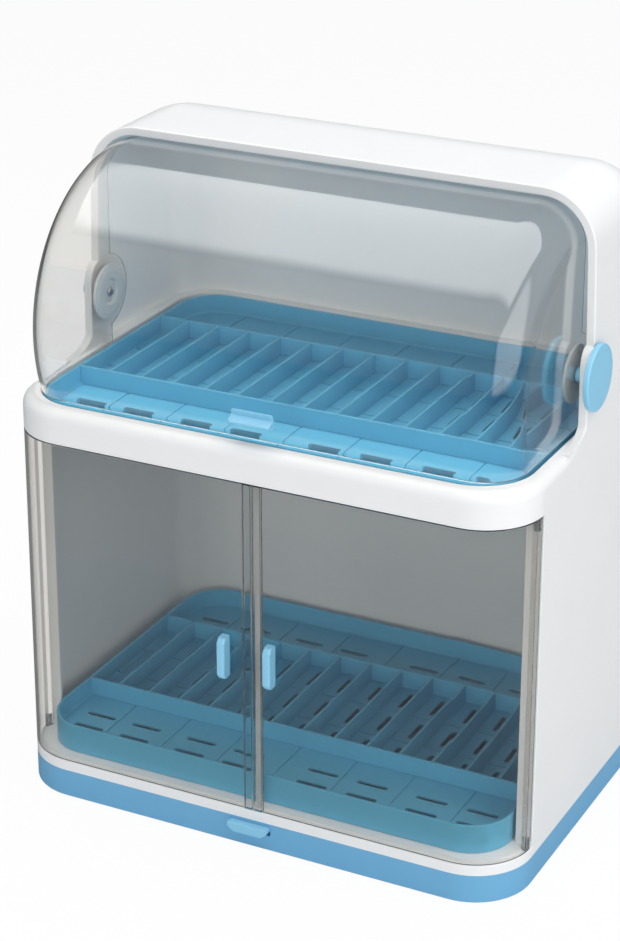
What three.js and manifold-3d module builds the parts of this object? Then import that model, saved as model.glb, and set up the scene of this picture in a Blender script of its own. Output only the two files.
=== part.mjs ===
// Two-tier covered plate rack: a white cabinet on a blue drip base, with a pair of
// clear wrap-round doors below, a clear roll-top lid above and a slotted rack tray
// in each tier. Millimetres, +Z up, the doors face -Y. The origin is on the ground,
// at the middle of the whole rack's footprint.

import * as THREE from 'three';
import { mergeVertices } from 'three/addons/utils/BufferGeometryUtils.js';
import Module from 'manifold-3d';

const wasm = await Module();
wasm.setup();

// Cabinet outline, seen from above
const cabinetWidth = 450;
const cabinetDepth = 315;
const frontCornerRadius = 50;
const rearCornerRadius = 44;
const wall = 3;

// Heights of the stacked pieces
const baseHeight = 24.8;
const flangeHeight = 9;
const platformRise = 1.7;
const lowerTierHeight = 287.2;
const bandHeight = 30;
const hoodHeight = 194;

// Clearances
const seatGap = 0.3;
const doorGap = 0.4;
const cutOverrun = 2;

// Base tray and its pull-out drain
const baseFloor = 2.5;
const spoutWidth = 36;
const spoutHeight = 8;
const spoutReach = 7;
const spoutLength = 46;
const spoutTopGap = 3;
const spoutWall = 1.8;
const spoutHoleRadius = 3;
const spoutGuideWall = 2;

// Cabinet floor
const flangePlate = 3.5;
const platformInset = 6;
const ledgeWidth = 20;

// Lower panels
const hingeGap = 0.9;
const returnWidth = 15;
const returnThickness = 3;

// Band round the middle shelf
const rimInset = 12.4;
const rimCornerRadius = 45;
const rimLip = 10;
const rimWall = 3;
const lipBlendStart = 84;
const lipBlendEnd = 128;
const lipEndRadius = 0.4;
const shelfLevel = 4.5;
const shelfPlate = 3;
const shelfHoleRadius = 5;
const shelfHolePitch = 62;
const shelfRowPitch = 84;
const pinBossRadius = 4.6;
const pinBossHeight = 14;

// Hood
const hoodFront = 144;
const hoodArcRadius = 100;
const hoodLipWidth = 7.2;
const hoodLipDepth = 6;
const hoodTaper = 4.6;
const earFront = 132;
const earTopLow = 56;
const earTopHigh = 73;
const earFootFront = 98;
const earFootHigh = 13;

// Lid pivot, measured from the front face and from the band's rim
const pivotBack = 145;
const pivotRise = 48.1;

// Lid
const lidWall = 2.4;
const lidTopPlay = 1.2;
const lidSidePlay = 2.2;
const lidCornerEase = 1.3;
const lidOverlap = 8;
const lidEarRadius = 32;
const lidBottomGap = 1;
const tabWidth = 36;
const tabDepth = 9.5;
const tabThickness = 2.4;
const tabCornerRadius = 3;
const tabTilt = 23;
const tabDrop = 27;
const padHeight = 13;
const padThickness = 1.6;

// Knobs, bushes and screws of the lid's pivots
const knobRadius = 27;
const knobThickness = 5;
const knobEdge = 1.4;
const spindleRadius = 6;
const spindlePlay = 0.4;
const pivotPadRadius = 12;
const bushFlangeRadius = 28;
const bushFlangeThickness = 3.6;
const bushHubRadius = 4;
const bushRecessRadius = 9.5;
const bushRecessDepth = 1.6;
const screwHeadRadius = 4.2;
const screwHeadHeight = 2.4;
const screwShankRadius = 1.8;
const screwBite = 9;
const screwCrossShare = 0.6;

// Doors
const doorThickness = 2.4;
const doorSeam = 3;
const doorRibWidth = 7.6;
const doorRibProud = 1;
const doorRibDepth = 2.6;
const barrelRadius = 4;
const pinRadius = 2;
const pinBite = 3;
const pinLength = 14;
const doorHandleOffset = 20.3;
const doorHandleWidth = 7;
const doorHandleReach = 11;
const doorHandleLength = 36;
const doorHandleLevel = 152;
const doorHandleRound = 3;

// Rack trays
const trayFrontPlay = 2.2;
const trayBackPlay = 1;
const traySidePlay = 5.2;
const trayCornerRadius = 36;
const trayWall = 2.4;
const trayFloorTop = 8.8;
const trayFloor = 2.4;
const plateSpacing = 29.6;
const dividerThickness = 2;
const railThickness = 2.4;
const frontStripShare = 0.275;
const rearStripShare = 0.251;
const cellSlotShare = 0.206;
const cellSlotPitchShare = 0.331;
const cellSlotWidth = 4.4;
const cellSlotRows = 3;
const stripSlotLength = 28;
const stripSlotWidth = 4.8;
const stripSlotShares = [0.167, 0.383, 0.639, 0.852];
const frontRowShares = [0.37, 0.645];
const rearRowShares = [0.2, 0.5];

// Levels and places that follow
const halfWidth = cabinetWidth / 2;
const flangeTop = baseHeight + flangeHeight;
const platformTop = flangeTop + platformRise;
const bandBottom = flangeTop + lowerTierHeight;
const rimTop = bandBottom + bandHeight;
const hoodTop = rimTop + hoodHeight;
const shelfTop = bandBottom + shelfLevel;
const flangeBottom = baseHeight + seatGap;
const panelBottom = flangeTop + seatGap;
const panelTop = bandBottom - seatGap;
const hoodBottom = rimTop + seatGap;
const pivotLevel = rimTop + pivotRise;
const originBack = (cabinetDepth - doorHandleReach) / 2;
const barrelSide = halfWidth - barrelRadius;
const barrelBack = frontCornerRadius - barrelRadius;
const panelFrontEdge = barrelBack + barrelRadius + hingeGap;
const lidRadius = hoodHeight - hoodLipWidth - pivotRise - lidTopPlay;
const lidHalfWidth = halfWidth - hoodLipWidth - hoodTaper - lidSidePlay;
const lidCornerRadius = rearCornerRadius - hoodLipWidth - lidCornerEase;
const lidRearEdge = hoodFront + lidOverlap;
const spoutLevel = baseHeight - spoutTopGap - spoutHeight;
const trayFront = rimInset + trayFrontPlay;
const trayBack = cabinetDepth - rimInset - trayBackPlay;
const trayHalfWidth = halfWidth - rimInset - traySidePlay;
const frontStripDepth = frontStripShare * (trayBack - trayFront);
const rearStripDepth = rearStripShare * (trayBack - trayFront);
const railFront = trayFront + frontStripDepth;
const railBack = trayBack - rearStripDepth;
const cellSlotLength = cellSlotShare * (railBack - railFront);
const cellSlotPitch = cellSlotPitchShare * (railBack - railFront);
const trayHeight = bandHeight - shelfLevel - 2 * seatGap;
const cellCount = 2 * Math.round(trayHalfWidth / plateSpacing);
const cellPitch = (2 * trayHalfWidth) / cellCount;

// Facets on round stretches
const cornerSteps = 8;
const trayWallSteps = 10;
const facetsPerSegment = 2;
const roundSteps = 16;
const drumSteps = 40;
const slotSteps = 2;
const placeGrid = 1 / 1024;

const quarterTurn = Math.PI / 2;

// Colours of the mouldings
const white = new THREE.MeshStandardMaterial({ color: 0xeef0f1, roughness: 0.35, metalness: 0 });
const baseBlue = new THREE.MeshStandardMaterial({ color: 0x63abdc, roughness: 0.35, metalness: 0 });
const trayBlue = new THREE.MeshStandardMaterial({ color: 0x5ea3c8, roughness: 0.4, metalness: 0 });
const gripBlue = new THREE.MeshStandardMaterial({ color: 0x8fcbea, roughness: 0.3, metalness: 0 });
const clear = new THREE.MeshStandardMaterial({
  color: 0xdfe8ea,
  roughness: 0.08,
  metalness: 0,
  transparent: true,
  opacity: 0.3,
});
const smoke = new THREE.MeshStandardMaterial({ color: 0x9aa6ad, roughness: 0.25, metalness: 0 });
const steel = new THREE.MeshStandardMaterial({ color: 0xb8bcc0, roughness: 0.3, metalness: 1 });

// A closed three.js geometry as a solid, with its faces pointing out. Its points are
// kept on a fine grid, so that faces which lie flush stay flush when pieces are joined.
function solidOf(geometry) {
  const bare = geometry.clone();
  bare.deleteAttribute('normal');
  bare.deleteAttribute('uv');
  const raw = bare.attributes.position.array;
  raw.forEach((v, i) => {
    raw[i] = Math.round(v / placeGrid) * placeGrid;
  });
  const merged = mergeVertices(bare, placeGrid / 2);
  const places = merged.attributes.position;
  const corner = [new THREE.Vector3(), new THREE.Vector3(), new THREE.Vector3()];
  const faces = [];
  let volume = 0;
  for (let i = 0; i < merged.index.count; i += 3) {
    const [a, b, c] = [0, 1, 2].map((k) => merged.index.getX(i + k));
    if (a === b || b === c || c === a) continue;
    faces.push([a, b, c]);
    [a, b, c].forEach((v, k) => corner[k].fromBufferAttribute(places, v));
    volume += corner[0].dot(corner[1].clone().cross(corner[2]));
  }
  const turned = volume < 0 ? faces.map(([a, b, c]) => [a, c, b]) : faces;
  return new wasm.Manifold(new wasm.Mesh({
    numProp: 3,
    vertProperties: Float32Array.from(places.array),
    triVerts: Uint32Array.from(turned.flat()),
  }));
}

function geometryOf(solid) {
  const mesh = solid.getMesh();
  const geometry = new THREE.BufferGeometry();
  geometry.setAttribute('position', new THREE.BufferAttribute(mesh.vertProperties, mesh.numProp));
  geometry.setIndex(new THREE.BufferAttribute(mesh.triVerts, 1));
  geometry.computeVertexNormals();
  return geometry;
}

function piece(name, solid, material, place = [0, 0, 0]) {
  const mesh = new THREE.Mesh(geometryOf(solid), material);
  mesh.name = name;
  mesh.position.set(...place);
  return mesh;
}

// Prism of a plan outline between two heights
function prismUp(shape, low, high, steps = cornerSteps) {
  const geometry = new THREE.ExtrudeGeometry(shape, {
    depth: high - low,
    bevelEnabled: false,
    curveSegments: steps / facetsPerSegment,
  });
  return solidOf(geometry.translate(0, 0, low));
}

// Prism of an outline drawn in Y and Z, between two places along X
function prismAcross(shape, left, right, steps = cornerSteps) {
  const geometry = new THREE.ExtrudeGeometry(shape, {
    depth: right - left,
    bevelEnabled: false,
    curveSegments: steps / facetsPerSegment,
  });
  const turn = new THREE.Matrix4().makeBasis(
    new THREE.Vector3(0, 1, 0),
    new THREE.Vector3(0, 0, 1),
    new THREE.Vector3(1, 0, 0),
  );
  return solidOf(geometry.applyMatrix4(turn).translate(left, 0, 0));
}

// Prism of an outline drawn in X and Z, between two places along Y
function prismBack(shape, front, back, steps = cornerSteps) {
  const geometry = new THREE.ExtrudeGeometry(shape, {
    depth: back - front,
    bevelEnabled: false,
    curveSegments: steps / facetsPerSegment,
  });
  return solidOf(geometry.rotateX(quarterTurn).translate(0, back, 0));
}

function block(low, high) {
  const size = low.map((v, i) => high[i] - v);
  const middle = low.map((v, i) => (high[i] + v) / 2);
  return solidOf(new THREE.BoxGeometry(...size).translate(...middle));
}

function post(radius, x, y, low, high, steps = roundSteps) {
  const geometry = new THREE.CylinderGeometry(radius, radius, high - low, steps);
  return solidOf(geometry.rotateX(quarterTurn).translate(x, y, (low + high) / 2));
}

// Round bar along X through the point y, z
function bar(radius, y, z, left, right, steps = roundSteps) {
  const geometry = new THREE.CylinderGeometry(radius, radius, right - left, steps);
  return solidOf(geometry.rotateZ(-quarterTurn).translate((left + right) / 2, y, z));
}

// Drum about an axis along X, with its two rims rounded
function drum(radius, half, cornerRadius, y, z) {
  const profile = [new THREE.Vector2(0, -half)];
  for (let i = 0; i <= cornerSteps; i += 1) {
    const turn = (quarterTurn * i) / cornerSteps;
    profile.push(new THREE.Vector2(
      radius - cornerRadius + cornerRadius * Math.sin(turn),
      -half + cornerRadius - cornerRadius * Math.cos(turn),
    ));
  }
  const other = profile.map((p) => new THREE.Vector2(p.x, -p.y)).reverse();
  const geometry = new THREE.LatheGeometry([...profile, ...other], drumSteps);
  return solidOf(geometry.rotateZ(-quarterTurn).translate(0, y, z));
}

// Solid that runs through a row of closed loops of equal point count
function loft(loops) {
  const count = loops[0].length;
  const places = loops.flat(2);
  const faces = [];
  for (let s = 0; s + 1 < loops.length; s += 1) {
    for (let i = 0; i < count; i += 1) {
      const j = (i + 1) % count;
      const [a, b, c, d] = [s * count + i, s * count + j, (s + 1) * count + j, (s + 1) * count + i];
      faces.push(a, b, c, a, c, d);
    }
  }
  const last = (loops.length - 1) * count;
  for (let i = 1; i + 1 < count; i += 1) {
    faces.push(0, i + 1, i, last, last + i, last + i + 1);
  }
  const geometry = new THREE.BufferGeometry();
  geometry.setAttribute('position', new THREE.Float32BufferAttribute(places, 3));
  geometry.setIndex(faces);
  return solidOf(geometry);
}

function roundedPlan(half, front, back, frontRadius, rearRadius) {
  const shape = new THREE.Shape();
  shape.moveTo(frontRadius - half, front);
  shape.lineTo(half - frontRadius, front);
  shape.absarc(half - frontRadius, front + frontRadius, frontRadius, -quarterTurn, 0, false);
  shape.lineTo(half, back - rearRadius);
  shape.absarc(half - rearRadius, back - rearRadius, rearRadius, 0, quarterTurn, false);
  shape.lineTo(rearRadius - half, back);
  shape.absarc(rearRadius - half, back - rearRadius, rearRadius, quarterTurn, Math.PI, false);
  shape.lineTo(-half, front + frontRadius);
  shape.absarc(frontRadius - half, front + frontRadius, frontRadius, Math.PI, -quarterTurn, false);
  return shape;
}

// The cabinet's outline, moved in by a distance
function cabinetPlan(inset, frontRadius = frontCornerRadius - inset) {
  return roundedPlan(
    halfWidth - inset,
    inset,
    cabinetDepth - inset,
    frontRadius,
    rearCornerRadius - inset,
  );
}

// Outline of a long hole with round ends, running along X or along Y
function slotPoints(x, y, length, width, alongY) {
  const radius = width / 2;
  const reach = length / 2 - radius;
  const points = [];
  for (const end of [1, -1]) {
    for (let i = 0; i <= slotSteps; i += 1) {
      const turn = (Math.PI * i) / slotSteps - quarterTurn;
      const along = end * (reach + radius * Math.cos(turn));
      const across = end * radius * Math.sin(turn);
      points.push(new THREE.Vector2(x + (alongY ? -across : along), y + (alongY ? along : across)));
    }
  }
  return points;
}

// Blue drip base: an open pan with a guide for the pull-out drain
function makeBaseTray() {
  const guideHalf = spoutWidth / 2 + seatGap;
  const guideTop = spoutLevel + spoutHeight + seatGap;
  const guideBottom = spoutLevel - seatGap;
  const guideBack = spoutLength - spoutReach + seatGap;
  const pan = prismUp(cabinetPlan(0), 0, baseHeight)
    .subtract(prismUp(cabinetPlan(wall), baseFloor, baseHeight + cutOverrun));
  const outer = guideHalf + spoutGuideWall;
  const cradle = block([-outer, wall / 2, baseFloor / 2], [outer, guideBack, guideTop])
    .subtract(block(
      [-guideHalf, wall, baseFloor],
      [guideHalf, guideBack + cutOverrun, guideBottom - spoutGuideWall],
    ));
  const way = block(
    [-guideHalf, -cutOverrun, guideBottom],
    [guideHalf, guideBack + cutOverrun, guideTop],
  );
  const above = block(
    [-guideHalf, wall, guideTop - cutOverrun],
    [guideHalf, guideBack + cutOverrun, baseHeight],
  );
  return piece('base_tray', pan.add(cradle).subtract(way.add(above)), baseBlue);
}

// Light-blue drain that pulls out of the base's front, with a trough and a drip hole
function makeDrainSpout() {
  const half = spoutWidth / 2;
  const front = -spoutReach;
  const back = front + spoutLength;
  const top = spoutLevel + spoutHeight;
  const body = block([-half, front, spoutLevel], [half, back, top]);
  const trough = block(
    [spoutWall - half, wall, spoutLevel + spoutWall],
    [half - spoutWall, back + cutOverrun, top + cutOverrun],
  );
  const holeBack = wall + spoutWall + spoutHoleRadius;
  const hole = post(spoutHoleRadius, 0, holeBack, spoutLevel - cutOverrun, top);
  return piece('drain_spout', body.subtract(trough).subtract(hole), gripBlue);
}

// White floor of the lower tier: a flange for the doors and a raised platform, open to the drip
// base except for the ledge that carries the tray
function makeCabinetFloor() {
  const plate = cabinetPlan(platformInset);
  const flange = prismUp(cabinetPlan(0), flangeBottom, flangeTop);
  const under = prismUp(cabinetPlan(wall), baseHeight - cutOverrun, flangeTop - flangePlate);
  const opening = prismUp(trayPlan(ledgeWidth), baseHeight, platformTop + cutOverrun);
  let floor = flange.add(prismUp(plate, flangeTop - flangePlate / 2, platformTop))
    .subtract(under)
    .subtract(opening);
  for (const side of [-1, 1]) {
    const hole = post(pinRadius + seatGap, side * barrelSide, barrelBack, baseHeight, platformTop + cutOverrun);
    floor = floor.subtract(hole).subtract(doorSweep(side));
  }
  return piece('cabinet_floor', floor, white);
}

// Room for the hinge barrel of a door beside the platform
function doorSweep(side) {
  const room = barrelRadius + 2 * seatGap;
  return post(room, side * barrelSide, barrelBack, flangeTop, platformTop + cutOverrun);
}

// Lower side wall with its rounded rear corner and its front return
function makeLowerSide(name, side) {
  const plan = new THREE.Shape();
  const outerX = side * halfWidth;
  const innerX = side * (halfWidth - wall);
  const arcX = side * (halfWidth - rearCornerRadius);
  const arcY = cabinetDepth - rearCornerRadius;
  plan.moveTo(innerX, panelFrontEdge);
  plan.lineTo(outerX, panelFrontEdge);
  plan.lineTo(outerX, arcY);
  const points = [];
  for (let i = 0; i <= cornerSteps; i += 1) {
    const turn = (quarterTurn * i) / cornerSteps;
    points.push([side * Math.cos(turn), Math.sin(turn)]);
  }
  for (const [c, s] of points) {
    plan.lineTo(arcX + c * rearCornerRadius, arcY + s * rearCornerRadius);
  }
  for (const [c, s] of points.reverse()) {
    plan.lineTo(arcX + c * (rearCornerRadius - wall), arcY + s * (rearCornerRadius - wall));
  }
  const shell = prismUp(plan, panelBottom, panelTop);
  const edges = [side * (halfWidth - returnWidth), side * (halfWidth - wall / 2)].sort((a, b) => a - b);
  const fold = block(
    [edges[0], panelFrontEdge, platformTop + seatGap],
    [edges[1], panelFrontEdge + returnThickness, bandBottom - seatGap],
  );
  return piece(name, shell.add(fold), white);
}

// Flat lower back wall between the two rounded corners
function makeLowerBack() {
  const half = halfWidth - rearCornerRadius - seatGap;
  return piece('lower_back_panel', block(
    [-half, cabinetDepth - wall, panelBottom],
    [half, cabinetDepth, panelTop],
  ), white);
}

// Cutter that rounds the band's outer top edge round the front and fades out along the sides
function lipCutter() {
  const stations = [];
  const cornerX = halfWidth - frontCornerRadius;
  const cornerY = frontCornerRadius;
  for (let i = 0; i <= cornerSteps; i += 1) {
    stations.push([halfWidth, lipBlendEnd + ((cornerY - lipBlendEnd) * i) / cornerSteps, 1, 0]);
  }
  for (let i = 1; i <= cornerSteps; i += 1) {
    const turn = (-quarterTurn * i) / cornerSteps;
    const [c, s] = [Math.cos(turn), Math.sin(turn)];
    stations.push([cornerX + frontCornerRadius * c, cornerY + frontCornerRadius * s, c, s]);
  }
  const mirrored = stations.map(([x, y, nx, ny]) => [-x, y, -nx, ny]).reverse();
  const loops = [...stations, ...mirrored].map(([x, y, nx, ny]) => {
    const share = THREE.MathUtils.smoothstep(lipBlendEnd - y, 0, lipBlendEnd - lipBlendStart);
    const radius = lipEndRadius + (rimLip - lipEndRadius) * share;
    const outline = [[-cutOverrun, cutOverrun], [-cutOverrun, -radius]];
    for (let i = 0; i <= cornerSteps; i += 1) {
      const turn = (quarterTurn * i) / cornerSteps;
      outline.push([radius * (1 - Math.cos(turn)), -radius * (1 - Math.sin(turn))]);
    }
    outline.push([radius, cutOverrun]);
    return outline.map(([inward, up]) => [x - nx * inward, y - ny * inward, rimTop + up]);
  });
  return loft(loops);
}

// Middle shelf: the white band, hollow underneath, with the well for the upper tray
function makeMiddleShelf() {
  const well = cabinetPlan(rimInset, rimCornerRadius);
  let shelf = prismUp(cabinetPlan(0), bandBottom, rimTop)
    .subtract(prismUp(well, shelfTop, rimTop + cutOverrun));
  const inner = rimInset - rimWall;
  const channel = prismUp(cabinetPlan(wall), bandBottom - cutOverrun, rimTop - rimWall)
    .subtract(prismUp(cabinetPlan(inner, rimCornerRadius + rimWall), bandBottom - cutOverrun, rimTop));
  const under = prismUp(well, bandBottom - cutOverrun, shelfTop - shelfPlate);
  shelf = shelf.subtract(channel).subtract(under).subtract(lipCutter());
  for (const side of [-1, 1]) {
    const boss = post(pinBossRadius, side * barrelSide, barrelBack, bandBottom, bandBottom + pinBossHeight)
      .intersect(prismUp(cabinetPlan(0), bandBottom, rimTop));
    const holeTop = bandBottom + pinLength - pinBite;
    const hole = post(pinRadius + seatGap, side * barrelSide, barrelBack, bandBottom - cutOverrun, holeTop);
    shelf = shelf.add(boss).subtract(hole);
  }
  for (const row of [-1, 1]) {
    for (const place of [-2, -1, 0, 1, 2]) {
      const hole = post(
        shelfHoleRadius,
        place * shelfHolePitch,
        cabinetDepth / 2 + row * shelfRowPitch,
        bandBottom,
        rimTop,
      );
      shelf = shelf.subtract(hole);
    }
  }
  return piece('middle_shelf', shelf, white);
}

// The hood's outer form, moved in by a distance: an arch that rolls down into the back
function hoodForm(inset, front, low) {
  const half = halfWidth - inset;
  const radius = rearCornerRadius - inset;
  const rollBack = cabinetDepth - hoodArcRadius;
  const rollLevel = hoodTop - hoodArcRadius;
  const top = hoodTop - inset;
  const arch = new THREE.Shape();
  arch.moveTo(-half, low);
  arch.lineTo(half, low);
  arch.lineTo(half, top - radius);
  arch.absarc(half - radius, top - radius, radius, 0, quarterTurn, false);
  arch.lineTo(radius - half, top);
  arch.absarc(radius - half, top - radius, radius, quarterTurn, Math.PI, false);
  const foot = new THREE.Shape();
  foot.moveTo(-half, front);
  foot.lineTo(half, front);
  foot.lineTo(half, cabinetDepth - inset - radius);
  foot.absarc(half - radius, cabinetDepth - inset - radius, radius, 0, quarterTurn, false);
  foot.lineTo(radius - half, cabinetDepth - inset);
  foot.absarc(radius - half, cabinetDepth - inset - radius, radius, quarterTurn, Math.PI, false);
  const room = block([-halfWidth, front, low], [halfWidth, cabinetDepth, hoodTop]);
  return prismBack(arch, front, rollBack)
    .add(prismUp(foot, low, rollLevel))
    .add(drum(hoodArcRadius - inset, half, radius, rollBack, rollLevel).intersect(room));
}

// Ear of the hood's side wall: it steps forward round the pivot and flows into the band
function earOutline() {
  const ear = new THREE.Shape();
  const back = hoodFront + hoodLipDepth;
  ear.moveTo(back, hoodBottom);
  ear.lineTo(back, rimTop + earTopHigh);
  ear.lineTo(hoodFront, rimTop + earTopHigh);
  for (let i = 1; i <= cornerSteps; i += 1) {
    const turn = (quarterTurn * i) / cornerSteps;
    ear.lineTo(
      hoodFront - (hoodFront - earFront) * Math.sin(turn),
      rimTop + earTopLow + (earTopHigh - earTopLow) * Math.cos(turn),
    );
  }
  for (let i = 0; i <= cornerSteps; i += 1) {
    const turn = (quarterTurn * i) / cornerSteps;
    ear.lineTo(
      earFootFront + (earFront - earFootFront) * (1 - Math.sin(turn)),
      hoodBottom + earFootHigh * (1 - Math.sin(turn)),
    );
  }
  return ear;
}

// Narrows the hood more and more towards its top
function taperedX(x, level) {
  const share = (level - rimTop) / hoodHeight;
  return x * (1 - (hoodTaper / halfWidth) * share * share);
}

function makeHood() {
  const lipBack = hoodFront + hoodLipDepth;
  const lipCut = new THREE.Shape();
  const half = halfWidth - hoodLipWidth;
  const top = hoodTop - hoodLipWidth;
  const radius = rearCornerRadius - hoodLipWidth;
  lipCut.moveTo(-half, rimTop - cutOverrun);
  lipCut.lineTo(half, rimTop - cutOverrun);
  lipCut.lineTo(half, top - radius);
  lipCut.absarc(half - radius, top - radius, radius, 0, quarterTurn, false);
  lipCut.lineTo(radius - half, top);
  lipCut.absarc(radius - half, top - radius, radius, quarterTurn, Math.PI, false);
  let hood = hoodForm(0, hoodFront, hoodBottom)
    .subtract(hoodForm(wall, lipBack, rimTop - cutOverrun))
    .subtract(prismBack(lipCut, hoodFront - cutOverrun, lipBack + cutOverrun));
  for (const side of [-1, 1]) {
    const edges = [side * half, side * halfWidth].sort((a, b) => a - b);
    const inner = [side * half, side * (halfWidth - wall / 2)].sort((a, b) => a - b);
    const hole = [-cutOverrun, cutOverrun].map((over, i) => edges[i] + over);
    hood = hood
      .add(prismAcross(earOutline(), ...edges))
      .add(bar(pivotPadRadius, pivotBack, pivotLevel, ...inner))
      .subtract(bar(spindleRadius + spindlePlay, pivotBack, pivotLevel, ...hole));
  }
  const mesh = piece('hood', hood, white);
  const places = mesh.geometry.attributes.position;
  for (let i = 0; i < places.count; i += 1) {
    places.setX(i, taperedX(places.getX(i), places.getZ(i)));
  }
  mesh.geometry.computeVertexNormals();
  return mesh;
}

// Clear roll-top lid: part of a hollow drum about the pivots, with round ears
function makeLid() {
  const shell = drum(lidRadius, lidHalfWidth, lidCornerRadius, pivotBack, pivotLevel)
    .subtract(drum(
      lidRadius - lidWall,
      lidHalfWidth - lidWall,
      lidCornerRadius - lidWall,
      pivotBack,
      pivotLevel,
    ));
  const reach = lidHalfWidth + cutOverrun;
  const visor = block(
    [-reach, pivotBack - lidRadius - cutOverrun, rimTop + lidBottomGap],
    [reach, lidRearEdge, pivotLevel + lidRadius + cutOverrun],
  );
  const ears = bar(lidEarRadius, pivotBack, pivotLevel, -reach, reach);
  const hole = bar(bushHubRadius + seatGap, pivotBack, pivotLevel, -reach, reach);
  return piece('lid', shell.intersect(visor.add(ears)).subtract(hole), clear);
}

// Light-blue tab on the lid's front: a curved pad with a lip to lift by
function makeLidHandle() {
  const half = tabWidth / 2;
  const inner = lidRadius + seatGap;
  const rootLevel = pivotLevel - tabDrop;
  const rootBack = pivotBack - Math.sqrt(inner * inner - tabDrop * tabDrop);
  const pad = bar(inner + padThickness, pivotBack, pivotLevel, -half, half, 2 * drumSteps)
    .intersect(block(
      [-half, pivotBack - inner - tabDepth, rootLevel - padHeight / 2],
      [half, pivotBack / 2, rootLevel + padHeight / 2],
    ));
  const plan = roundedPlan(half, -tabDepth, 2 * tabCornerRadius, tabCornerRadius, tabCornerRadius);
  const tab = new THREE.ExtrudeGeometry(plan, {
    depth: tabThickness,
    bevelEnabled: false,
    curveSegments: slotSteps / facetsPerSegment,
  });
  tab.rotateX(THREE.MathUtils.degToRad(tabTilt)).translate(0, rootBack, rootLevel);
  const core = bar(inner, pivotBack, pivotLevel, -halfWidth, halfWidth, 2 * drumSteps);
  return piece('lid_handle', pad.add(solidOf(tab)).subtract(core), gripBlue);
}

// Pivot of the lid, built along +X from the lid's side wall outwards and turned for the left
function placeOnPivot(mesh, side) {
  mesh.rotation.z = side > 0 ? 0 : Math.PI;
  mesh.position.set(0, pivotBack, pivotLevel);
  return mesh;
}

// Spindle through the hood's ear; a head wider than the spindle is a knob outside the wall
function makeSpindle(name, side, headRadius) {
  const face = halfWidth + seatGap;
  const end = lidHalfWidth + seatGap;
  const neck = headRadius > spindleRadius ? [[spindleRadius, face], [headRadius, face]] : [];
  const profile = [
    [0, end],
    [spindleRadius, end],
    ...neck,
    [headRadius, face + knobThickness - knobEdge],
    [headRadius - knobEdge, face + knobThickness],
    [0, face + knobThickness],
  ].map(([radius, along]) => new THREE.Vector2(radius, along));
  const body = solidOf(new THREE.LatheGeometry(profile, drumSteps).rotateZ(-quarterTurn));
  const bore = bar(screwShankRadius + seatGap, 0, 0, end - cutOverrun, end + screwBite + seatGap);
  return placeOnPivot(piece(name, body.subtract(bore), gripBlue), side);
}

function makeBush(name, side) {
  const lidFace = lidHalfWidth - lidWall - seatGap;
  const inner = lidFace - bushFlangeThickness;
  const bush = bar(bushFlangeRadius, 0, 0, inner, lidFace, drumSteps)
    .add(bar(bushHubRadius, 0, 0, inner, lidHalfWidth, roundSteps))
    .subtract(bar(bushRecessRadius, 0, 0, inner - cutOverrun, inner + bushRecessDepth))
    .subtract(bar(screwShankRadius + seatGap, 0, 0, inner, lidHalfWidth + cutOverrun));
  return placeOnPivot(piece(name, bush, smoke), side);
}

function makeScrew(name, side) {
  const headSeat = lidHalfWidth - lidWall - seatGap - bushFlangeThickness + bushRecessDepth - seatGap;
  const tip = lidHalfWidth + seatGap + screwBite;
  const headFace = headSeat - screwHeadHeight;
  const arm = screwHeadRadius * screwCrossShare;
  const groove = screwHeadHeight / 2;
  const cross = block([headFace - cutOverrun, -arm, -groove / 2], [headFace + groove, arm, groove / 2])
    .add(block([headFace - cutOverrun, -groove / 2, -arm], [headFace + groove, groove / 2, arm]));
  const screw = bar(screwHeadRadius, 0, 0, headFace, headSeat)
    .add(bar(screwShankRadius, 0, 0, headSeat - groove / 2, tip))
    .subtract(cross);
  return placeOnPivot(piece(name, screw, steel), side);
}

// Clear door that wraps the rounded corner, with a hinge barrel and a thick meeting edge
function makeDoor(name, side) {
  const low = flangeTop + doorGap;
  const high = bandBottom - doorGap;
  const seam = doorSeam * side + doorGap;
  const arcX = halfWidth - frontCornerRadius;
  const endTurn = -Math.asin((frontCornerRadius - barrelBack) / frontCornerRadius);
  const outer = [[seam, 0], [arcX, 0]];
  const inner = [[seam, doorThickness], [arcX, doorThickness]];
  for (let i = 1; i <= cornerSteps; i += 1) {
    const turn = -quarterTurn + ((endTurn + quarterTurn) * i) / cornerSteps;
    const reach = frontCornerRadius - doorThickness;
    outer.push([arcX + frontCornerRadius * Math.cos(turn), frontCornerRadius * (1 + Math.sin(turn))]);
    inner.push([arcX + reach * Math.cos(turn), frontCornerRadius + reach * Math.sin(turn)]);
  }
  const points = [...outer, ...inner.reverse()].map(([x, y]) => new THREE.Vector2(side * x, y));
  const edges = [side * seam, side * (seam + doorRibWidth)].sort((a, b) => a - b);
  const rib = block(
    [edges[0], -doorRibProud, low],
    [edges[1], doorThickness + doorRibDepth, high],
  );
  const barrel = post(barrelRadius, side * barrelSide, barrelBack, low, high, roundSteps);
  const bite = pinLength - pinBite + seatGap;
  const bores = post(pinRadius + seatGap, side * barrelSide, barrelBack, low - cutOverrun, low + bite)
    .add(post(pinRadius + seatGap, side * barrelSide, barrelBack, high - bite, high + cutOverrun));
  const door = prismUp(new THREE.Shape(points), low, high).add(rib).add(barrel).subtract(bores);
  return piece(name, door, clear);
}

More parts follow.
